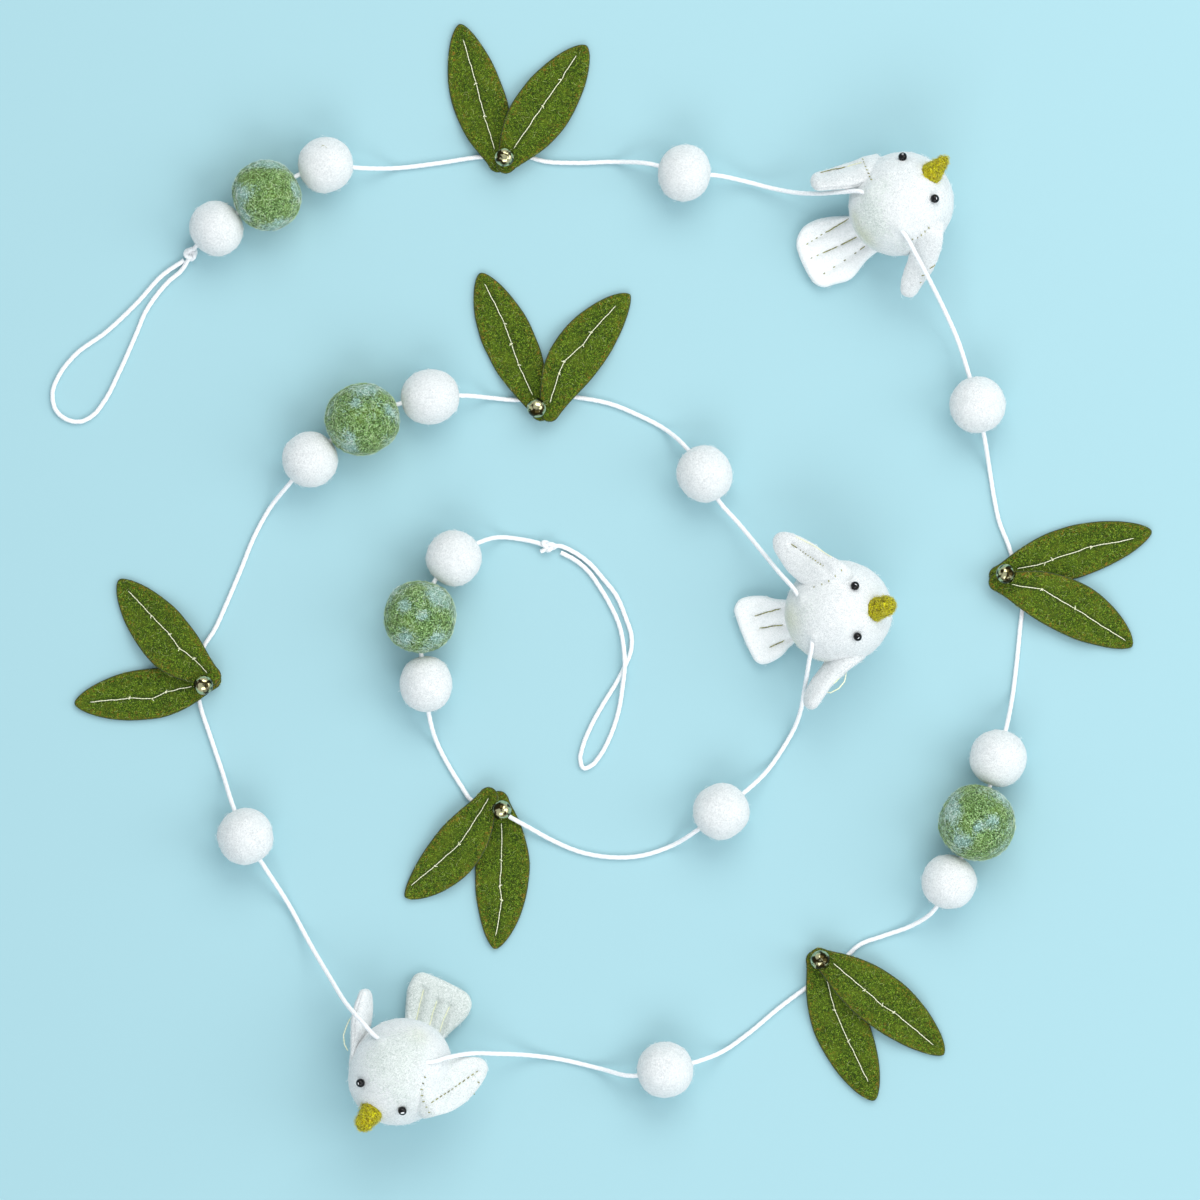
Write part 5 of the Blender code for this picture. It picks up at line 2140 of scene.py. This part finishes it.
@dataclass(frozen=True)
class Beak:
    """A cone of mustard wool with a rounded end, needled onto the face."""

    node: str
    base: Place2
    tip: Place3
    radius: float
    tip_radius: float
    inside: float = 2.0
    round_from: float = 0.72
    stations: int = 34
    points: int = 44

    def build(self, shape_of: BirdBody, body: Object) -> Object:
        """Make the beak, cut to the body.

        Args:
            shape_of: the body's sizes.
            body: the body itself.

        Returns:
            The beak.
        """
        base, _ = shape_of.over(*self.base)
        axis = Vector(self.tip) - base
        start = base - axis.normalized() * self.inside
        turn = axis.to_track_quat("Z", "Y").to_matrix()
        length = axis.length + self.inside
        rings = []
        for i in range(self.stations + 1):
            share = sin(pi / 2 * (0.002 + 0.996 * i / self.stations))
            radius = self.radius + (self.tip_radius - self.radius) * share ** 0.9
            past = max(0.0, share - self.round_from) / (1.0 - self.round_from)
            radius *= sqrt(max(0.0, 1.0 - past ** 2.2))
            ring = []
            for k in range(self.points):
                angle = 2.0 * pi * k / self.points
                way = turn @ Vector((cos(angle), sin(angle), 0.0))
                hub = start + turn @ Vector((0.0, 0.0, share * length))
                place = hub + way * radius
                bumps = 0.9 * (lump(place, 3.0, 2.0) - 0.5) + 0.5 * (lump(place, 0.9, 5.0) - 0.5)
                ring.append(place + way * (bumps * min(1.0, radius / 2.0)))
            rings.append(ring)
        made = linked(f"{self.node}_wool", loft(self.node, rings))
        cut_away(made, body)
        dress(made, BEAK_FELT, [self.node])
        return made


@dataclass(frozen=True)
class Eye:
    """A black glass bead sewn into a dent."""

    node: str
    x: float
    y: float
    # length and radius of the white thread that stands in for the bead's highlight, a painted
    # highlight
    glint: Place2 = (0.7, 0.14)
    radius: float = 1.75
    bore: float = 0.3

    def build(self, shape_of: BirdBody) -> Object:
        """Make the eye.

        Args:
            shape_of: the body's sizes.

        Returns:
            The eye.
        """
        place, outward = shape_of.over(self.x, self.y)
        axis = outward.orthogonal().normalized()
        profile = [(radius, height * 0.94) for radius, height
                   in bored_profile(self.radius, self.bore, 22)]
        mesh = turned(self.node, profile, 28, place + outward * 0.1, axis)
        return dress(linked(f"{self.node}_bead", mesh), BLACK_GLASS, [self.node])

    def stitch(self, shape_of: BirdBody) -> Mesh:
        """A short white thread on top of the bead that stands in for its highlight: a painted
        highlight.

        Args:
            shape_of: the body's sizes.

        Returns:
            The thread.
        """
        place, outward = shape_of.over(self.x, self.y)
        length, radius = self.glint
        top = place + outward.lerp(UP, 0.4).normalized() * (self.radius + 0.1)
        along = outward.cross(UP).normalized() * (length / 2)
        path = [top - along - UP * 0.15, top - along * 0.5, top + along * 0.5,
                top + along - UP * 0.15]
        return swept(f"{self.node}_thread", path, radius, 8)


@dataclass(frozen=True)
class Sewing:
    """One line of bird sewing: laid on a piece, as long thread or as a row of short stitches."""

    piece: str
    line: tuple[Place2, ...]
    pitch: float = 0.0
    stitch: float = 0.0
    slant: float = 0.0
    # pale: the row is drawn lit in the pale gold, as painted light; otherwise in the darker gold, as
    # painted shade
    pale: bool = False


@dataclass(frozen=True)
class Bird:
    """One felted bird with all that is sewn to it."""

    number: int
    body: BirdBody
    eyes: tuple[Eye, Eye]
    beak: Beak
    wings: tuple[Wing, Wing]
    tail: Tail
    sewing: tuple[Sewing, ...]
    loose: tuple[tuple[Place3, ...], ...] = ()

    def sew(self, shop: Workshop, pieces: Mapping[str, Object]) -> None:
        """Sew the lines on wings and tail and add the loose thread.

        Args:
            shop: the node trees.
            pieces: the bird's pieces by node name.
        """
        surfaces = {name: surface_tree(held) for name, held in pieces.items()}
        # the birds' thread in a lit and a shaded copy: painted light and painted shade
        for pale, finish in ((True, PALE_AND_LIT_GOLD), (False, SHADED_GOLD_AND_CHAFF)):
            rows = [row for row in self.sewing if row.pale is pale]
            work = ThreadWork(f"bird_{self.number}_{'pale' if pale else 'deep'}_gold_sewing", shop,
                              surfaces, self.number)
            threads, parts = [], []
            for row in rows:
                line = densely(row.line)
                if row.pitch:
                    laid = work.laid(row.piece, line, 0.1)
                    parts.append(shop.grow("stitches", line_mesh([laid]), shop.stitches, finish,
                                           Radius=0.2 * MM, Pitch=row.pitch * MM,
                                           Stitch=row.stitch * MM, Slant=row.slant,
                                           Seed=self.number))
                else:
                    threads.append(work.laid(row.piece, line, 0.14, 0.4))
            if pale and self.loose:
                ends = [[Vector(point) for point in line] for line in self.loose]
                parts.append(shop.grow("loose_threads", line_mesh(ends), shop.thread, finish,
                                       Radius=0.27 * MM, Twist=THREAD_TWIST))
            if threads:
                parts.append(shop.grow("threads", line_mesh(threads), shop.thread, finish,
                                       Radius=0.2 * MM, Twist=THREAD_TWIST))
            if parts:
                work.finish(parts, finish)

    def build(self, shop: Workshop, channel: Object) -> dict[str, list[Object]]:
        """Make the bird.

        Args:
            shop: the node trees.
            channel: the cord's way through the body.

        Returns:
            The pieces of white wool and of mustard wool.
        """
        body = self.body.build()
        for eye in self.eyes:
            eye.build(self.body)
        # white threads on the eyes as painted highlights
        threads = joined("painted_eye_highlights", [eye.stitch(self.body) for eye in self.eyes])
        threads.shade_smooth()
        dress(linked(f"bird_{self.number}_painted_eye_highlights", threads), PAINTED_EYE_HIGHLIGHT)
        beak = self.beak.build(self.body, body)
        pieces = {wing.node: wing.build(body) for wing in self.wings}
        pieces[self.tail.node] = self.tail.build(body)
        pieces[self.body.node] = body
        self.sew(shop, pieces)
        cut_away(body, channel)
        self.body.shade(body.data)
        dress(body, WHITE_FELT, [self.body.node])
        return {"white": list(pieces.values()), "mustard": [beak]}


def densely(line: Sequence[Place2], step: float = 0.5) -> list[Place2]:
    """Fill straight runs with points.

    Args:
        line: where the runs meet.
        step: about how far apart the points stand.

    Returns:
        The points.
    """
    dense = [line[0]]
    for (x0, y0), (x1, y1) in zip(line, line[1:]):
        count = max(1, round(hypot(x1 - x0, y1 - y0) / step))
        dense += [(x0 + (x1 - x0) * i / count, y0 + (y1 - y0) * i / count)
                  for i in range(1, count + 1)]
    return dense


EYE_DENT = (0.7, 2.8)
CORD_SWELL = (-1.0, 2.6)

# A body's grey spots are partly grey wool and partly painted shade, and its yellow spots are painted
# reflection; a wing or tail with a grey value is greyed all over as painted shade
BIRDS = (
    Bird(
        1,
        BirdBody("bird_1_body", 112.7, 146.2, 37, 21.4, 20.4, 20.0,
                 ((113.2, 164.3, *EYE_DENT), (125.6, 147.9, *EYE_DENT),
                  (100.0, 150.8, *CORD_SWELL), (112.2, 136.8, *CORD_SWELL)), 31.0,
                 ((98.5, 146.0, 9.0, 0.75), (103.5, 136.0, 8.0, 0.65), (114.0, 128.5, 6.0, 0.5),
                  (106.0, 154.0, 6.0, 0.5)),
                 ((97.5, 133.0, 6.0, 0.9), (94.0, 141.0, 3.5, 0.5))),
        (Eye("bird_1_eye_left", 113.2, 164.3), Eye("bird_1_eye_right", 125.6, 147.9)),
        Beak("bird_1_beak", (124.9, 158.5), (130.5, 164.1, 35.5), 4.7, 1.6),
        (Wing("bird_1_wing_left", (99.5, 158.6, 24.0), (77.2, 155.3, 21.0),
              (4.6, 5.0, 5.8, 5.4, 5.0, 4.6), (6.9, 6.4, 5.2, 4.2, 3.2, 2.8), 6.8, 41,
              (((81.7, 158.4), (97.8, 162.3)),)),
         Wing("bird_1_wing_right", (121.0, 134.5, 29.0), (115.0, 109.8, 17.0),
              (7.4, 8.3, 8.8, 7.5, 5.2, 3.6), (3.0, 3.2, 3.0, 3.5, 3.9, 3.3), 3.1, 17, rise=3.0)),
        Tail("bird_1_tail", (103.6, 136.5), (73.8, 123.6),
             (0.0, 6.0, 11.5, 17.5, 25.0, 32.0), (13.0, 12.9, 13.0, 11.8, 9.0, 7.5), (5.0, 8.0),
             (((94.5, 142.0), (76.6, 130.9)), ((98.5, 134.8), (78.0, 125.4)),
              ((100.5, 131.3), (83.7, 119.8))), end_bow=2.0, bulge=1.2),
        (Sewing("bird_1_wing_left", ((80.9, 158.2), (86.0, 159.5), (91.2, 160.7))),
         Sewing("bird_1_wing_left", ((91.4, 160.7), (97.8, 162.3)), pale=True),
         Sewing("", ((97.8, 163.5), (99.0, 159.9), (101.0, 155.4)), 1.6, 0.9, 0.6),
         Sewing("", ((115.0, 131.6), (119.6, 133.0), (123.4, 136.4)), 1.8, 0.9, 0.9),
         Sewing("bird_1_wing_right", ((126.0, 122.3), (123.7, 120.7))),
         Sewing("bird_1_wing_right", ((123.3, 118.8), (120.5, 118.0))),
         Sewing("bird_1_wing_right", ((119.8, 115.2), (120.9, 115.6))),
         Sewing("bird_1_tail", ((81.8, 134.5), (76.2, 130.8)), 1.9, 1.1),
         Sewing("bird_1_tail", ((92.7, 140.9), (86.4, 137.0), (83.2, 135.2))),
         Sewing("bird_1_tail", ((95.9, 133.7), (89.1, 130.4))),
         Sewing("bird_1_tail", ((88.3, 130.0), (82.1, 127.3))),
         Sewing("bird_1_tail", ((80.4, 126.4), (77.9, 125.4)), 2.0, 1.1),
         Sewing("bird_1_tail", ((99.0, 130.1), (96.9, 128.4))),
         Sewing("bird_1_tail", ((95.2, 127.2), (82.8, 119.2)), 4.6, 1.2)),
    ),
    Bird(
        2,
        BirdBody("bird_2_body", 88.4, -13.3, 10, 21.5, 20.7, 20.0,
                 ((94.5, -3.1, *EYE_DENT), (95.5, -22.9, *EYE_DENT),
                  (73.5, -7.8, *CORD_SWELL), (78.2, -23.4, *CORD_SWELL)), 32.0,
                 # the spot right of the face is painted shade in a crease
                 ((74.0, -14.0, 9.0, 0.45), (80.0, -8.0, 6.0, 0.2), (104.0, -4.0, 3.0, 0.5),
                  (82.0, -32.5, 5.0, 0.7)),
                 ((68.5, -16.0, 7.0, 0.7), (70.5, -25.0, 6.0, 0.5), (81.0, -34.0, 4.0, 0.6))),
        (Eye("bird_2_eye_left", 94.5, -3.1), Eye("bird_2_eye_right", 95.5, -22.9)),
        Beak("bird_2_beak", (103.6, -11.9), (109.3, -9.9, 38.6), 4.7, 3.2),
        (Wing("bird_2_wing_left", (86.0, 1.0, 31.0), (63.6, 16.8, 23.0),
              (4.0, 5.5, 9.4, 9.3, 6.9, 4.4), (6.0, 6.5, 6.0, 6.1, 5.0, 3.3), 3.4, -24,
              (((69.6, 13.3), (84.0, 3.4)),), rise=3.0),
         Wing("bird_2_wing_right", (91.0, -32.0, 22.0), (76.2, -51.0, 20.5),
              (6.0, 4.3, 3.0, 2.2, 2.6, 2.6), (1.0, 5.8, 6.0, 5.8, 5.2, 3.6), 6.8, 27)),
        Tail("bird_2_tail", (76.0, -14.8), (49.2, -22.6),
             (0.0, 6.0, 12.0, 17.0, 26.0), (13.2, 13.7, 12.4, 9.6, 6.6), (3.2, 4.5),
             (((68.5, -11.2), (55.5, -14.9)), ((69.0, -18.2), (57.4, -19.6)),
              ((69.5, -23.4), (61.3, -27.3))), end_gap=1.6, skew=1.4),
        (Sewing("bird_2_wing_left", ((71.1, 16.3), (78.0, 12.9), (85.7, 7.8)), pale=True),
         Sewing("bird_2_wing_left", ((69.6, 13.3), (72.2, 11.6))),
         Sewing("bird_2_wing_left", ((73.4, 10.9), (82.1, 4.7)), 1.3, 0.5, 1.3),
         Sewing("", ((78.6, -3.6), (82.9, -2.2), (86.0, 0.0), (89.2, 3.0)), 3.0, 0.9, 1.2),
         Sewing("bird_2_tail", ((66.0, -11.9), (55.5, -14.9))),
         Sewing("bird_2_tail", ((67.0, -18.3), (57.4, -19.6))),
         Sewing("bird_2_tail", ((67.5, -24.4), (61.3, -27.3)))),
        (((91.3, -37.0, 25.0), (90.6, -40.4, 25.4), (88.4, -43.1, 25.0), (85.2, -44.8, 23.6),
          (83.4, -44.6, 22.4)),
         ((88.6, -38.2, 26.0), (86.6, -39.4, 26.4), (85.8, -41.2, 26.0), (86.9, -40.8, 26.3),
          (88.8, -38.8, 26.2))),
    ),
    Bird(
        3,
        BirdBody("bird_3_body", -82.9, -192.9, -125, 22.0, 20.4, 20.0,
                 ((-82.0, -207.8, *EYE_DENT), (-98.3, -197.0, *EYE_DENT),
                  (-90.8, -181.0, *CORD_SWELL), (-74.3, -189.1, *CORD_SWELL)), 33.0,
                 ((-90.0, -188.0, 12.0, 0.8), (-80.0, -203.0, 11.0, 0.6), (-78.0, -181.0, 10.0, 0.6)),
                 ((-75.0, -177.5, 5.0, 0.3),)),
        (Eye("bird_3_eye_left", -82.0, -207.8, (1.1, 0.3)), Eye("bird_3_eye_right", -98.3, -197.0)),
        Beak("bird_3_beak", (-94.4, -208.8), (-98.4, -214.9, 33.4), 4.9, 2.9),
        (Wing("bird_3_wing_left", (-72.5, -201.0, 27.0), (-49.2, -189.8, 18.0),
              (6.0, 10.4, 10.6, 8.9, 6.4, 3.7), (8.0, 10.2, 10.9, 9.9, 7.2, 3.9), 3.4, 20,
              (((-70.4, -204.4), (-53.1, -192.9)),), rise=5.5, painted_shade=0.5),
         Wing("bird_3_wing_right", (-99.6, -185.0, 17.5), (-96.6, -160.6, 15.0),
              (3.0, 3.0, 3.8, 4.3, 3.5, 2.2), (0.8, 1.2, 3.2, 4.0, 3.9, 2.6), 6.7, 29)),
        Tail("bird_3_tail", (-77.2, -184.0), (-64.0, -156.6),
             (0.0, 6.0, 9.0, 13.0, 20.0, 28.0), (12.6, 13.0, 12.8, 11.5, 8.8, 6.5), (3.4, 5.0),
             (((-73.9, -161.0), (-77.0, -174.0)), ((-68.8, -165.4), (-72.2, -178.0)),
              ((-63.7, -167.8), (-68.0, -179.0))), end_gap=1.8, painted_shade=1.0),
        (Sewing("bird_3_wing_left", ((-70.4, -204.4), (-63.7, -200.3), (-53.1, -192.9)), 2.2, 1.5),
         Sewing("", ((-73.2, -194.6), (-74.6, -199.0), (-74.0, -203.4), (-71.5, -208.4)),
                2.2, 1.0, 1.2),
         Sewing("bird_3_wing_left", ((-52.5, -197.0), (-54.0, -201.6)), 3.1, 1.2, 1.2),
         Sewing("bird_3_tail", ((-73.9, -161.0), (-75.6, -167.0), (-77.0, -173.6)), pale=True),
         Sewing("bird_3_tail", ((-68.8, -165.4), (-70.6, -171.0), (-72.0, -177.0)), pale=True),
         Sewing("bird_3_tail", ((-63.7, -167.8), (-66.2, -172.6), (-67.8, -178.0)), pale=True)),
        (((-102.4, -171.8, 17.5), (-104.0, -175.2, 17.8), (-105.2, -178.8, 17.4),
          (-104.8, -182.4, 17.0), (-103.4, -185.0, 16.6)),),
    ),
)


# The garland and the studio


CHAFF = (((-113.9, 168.7), (-113.2, 169.1), (-112.5, 168.9)), ((-112.3, 168.6), (-111.7, 168.2)))


@dataclass
class WoolCoat:
    """Loose fibres over all pieces of one kind of wool, grown together."""

    name: str
    finish: FibreFinish
    density: float
    length: float
    thickness: float
    lift: float
    seed: int
    floor: float = 1.6

    def build(self, shop: Workshop, pieces: Sequence[Object]) -> Object:
        """Grow the fibres.

        Args:
            shop: the node trees.
            pieces: the felt that carries them.

        Returns:
            The fibres.
        """
        felt = joined(f"{self.name}_felt", [piece.data for piece in pieces])
        mesh = shop.grow(self.name, felt, shop.fibres, self.finish,
                         Density=self.density / MM / MM, Length=self.length * MM,
                         Thickness=self.thickness * MM, Lift=self.lift, Floor=self.floor * MM,
                         Seed=self.seed)
        return dress(linked(self.name, mesh), self.finish)


@dataclass
class Studio:
    """The plain floor, the soft light and the camera straight above, as in the photograph."""

    view_width: float = 470.4
    middle: Place2 = (-4.9, -8.6)
    lens: float = 500.0
    sensor: float = 36.0
    floor_half: float = 2.5
    floor_drop: float = 0.05
    floor_tone: Colour = (160, 198, 206)

    def camera(self) -> None:
        """A long lens straight down, so that nothing leans away from the middle."""
        data = bpy.data.cameras.new("camera")
        data.lens = self.lens
        data.sensor_width = self.sensor
        distance = self.view_width * MM * self.lens / self.sensor
        data.clip_start = distance / 10.0
        data.clip_end = distance * 3.0
        held = linked("camera", data)
        held.location = (self.middle[0] * MM, self.middle[1] * MM, distance)
        bpy.context.scene.camera = held

    def floor(self) -> None:
        """A wide plain sheet just under the garland."""
        half = self.floor_half
        corners = [(-half, -half, 0.0), (half, -half, 0.0), (half, half, 0.0), (-half, half, 0.0)]
        mesh = bpy.data.meshes.new("floor")
        mesh.from_pydata(corners, [], [(0, 1, 2, 3)])
        held = linked("floor", mesh)
        held.location.z = -self.floor_drop * MM
        paint = bpy.data.materials.new("floor_paper")
        paint.use_nodes = True
        shader = paint.node_tree.nodes["Principled BSDF"]
        shader.inputs["Base Color"].default_value = linear(self.floor_tone)
        shader.inputs["Roughness"].default_value = 1.0
        shader.inputs["Specular IOR Level"].default_value = 0.0
        mesh.materials.append(paint)

    @staticmethod
    def softbox(name: str, place: Place3, size: Place2, power: float, tone: Colour) -> None:
        """A soft light that faces the garland.

        Args:
            name: the light's name.
            place: where it stands, in metres.
            size: its width and height.
            power: its power in watts.
            tone: its colour.
        """
        data = bpy.data.lights.new(name, "AREA")
        data.shape = "RECTANGLE"
        data.size, data.size_y = size
        data.energy = power
        data.color = linear(tone)[:3]
        held = linked(name, data)
        held.location = place
        held.rotation_euler = (-Vector(place)).to_track_quat("-Z", "Y").to_euler()

    def light(self) -> None:
        """Three broad softboxes, the strongest on the right, over a dim surround."""
        self.softbox("key_light", (0.35, 1.15, 1.35), (1.7, 1.1), 17.5, (255, 254, 251))
        self.softbox("fill_light", (0.1, -1.25, 1.2), (1.5, 0.9), 11.0, (250, 253, 255))
        self.softbox("side_light", (1.7, -0.1, 1.3), (1.3, 1.7), 16.0, (253, 254, 255))
        world = bpy.data.worlds.new("surround")
        world.use_nodes = True
        surround = world.node_tree.nodes["Background"]
        surround.inputs[0].default_value = linear((244, 250, 255))
        surround.inputs[1].default_value = 0.68
        bpy.context.scene.world = world
        bpy.context.scene.view_settings.view_transform = "Standard"

    def build(self) -> None:
        """Set up camera, floor and light."""
        self.camera()
        self.floor()
        self.light()


@dataclass
class Garland:
    """The whole garland on its cord."""

    shop: Workshop
    cord: CordLine = field(default_factory=CordLine)

    def pairs(self) -> list[LeafPair]:
        """The six leaf pairs with their beads.

        Returns:
            The pairs in the order in which they are strung.
        """
        leaves = {leaf.node: leaf for leaf in LEAVES}
        made = []
        for number, (x, y, carrier, settled, heading) in enumerate(BEADS, start=1):
            bead = BrassBead(f"bead_{number}", x, y, bead_seat(leaves[carrier], settled), heading)
            made.append(LeafPair(number, leaves[f"leaf_{number}_left"],
                                 leaves[f"leaf_{number}_right"], bead))
        return made

    def fleck(self, ball: Object) -> None:
        """The dark bit of chaff that is felted into one white ball.

        Args:
            ball: the ball.
        """
        work = ThreadWork("chaff", self.shop, {"ball": surface_tree(ball)}, 0)
        bits = [work.laid("ball", line, 0.02) for line in CHAFF]
        mesh = self.shop.grow("chaff", line_mesh(bits), self.shop.thread, SHADED_GOLD_AND_CHAFF,
                              Radius=0.11 * MM, Twist=CHAFF_TWIST)
        work.finish([mesh], SHADED_GOLD_AND_CHAFF)

    def build(self) -> None:
        """Make every piece: the cord, the balls, the leaf pairs with their beads, the birds and the
        loose wool.
        """
        self.cord.build(self.shop)
        channel = self.cord.channel()
        white, green, leaves, mustard = [], [], [], []
        for ball in BALLS:
            (green if ball.patches else white).append(ball.build(channel))
        self.fleck(white[1])
        for pair in self.pairs():
            leaves += pair.build(self.shop)
        for bird in BIRDS:
            made = bird.build(self.shop, channel)
            white += made["white"]
            mustard += made["mustard"]
        bpy.data.objects.remove(channel, do_unlink=True)
        WoolCoat("white_wool_coat", WHITE_FIBRE, 0.145, 1.9, 0.035, 0.3, 1).build(self.shop, white)
        WoolCoat("marbled_wool_coat", MARBLED_FIBRE, 0.92, 2.6, 0.062, 0.03, 2).build(self.shop, green)
        WoolCoat("leaf_wool_coat", LEAF_FIBRE, 0.27, 1.8, 0.045, 0.1, 3).build(self.shop, leaves)
        WoolCoat("mustard_wool_coat", BEAK_FIBRE, 2.0, 1.8, 0.05, 0.35, 4).build(self.shop, mustard)


def main() -> None:
    """Build the studio and the garland."""
    logging.basicConfig(level=logging.INFO, format="%(message)s")
    Studio().build()
    Garland(Workshop()).build()


if __name__ == "__main__":
    main()
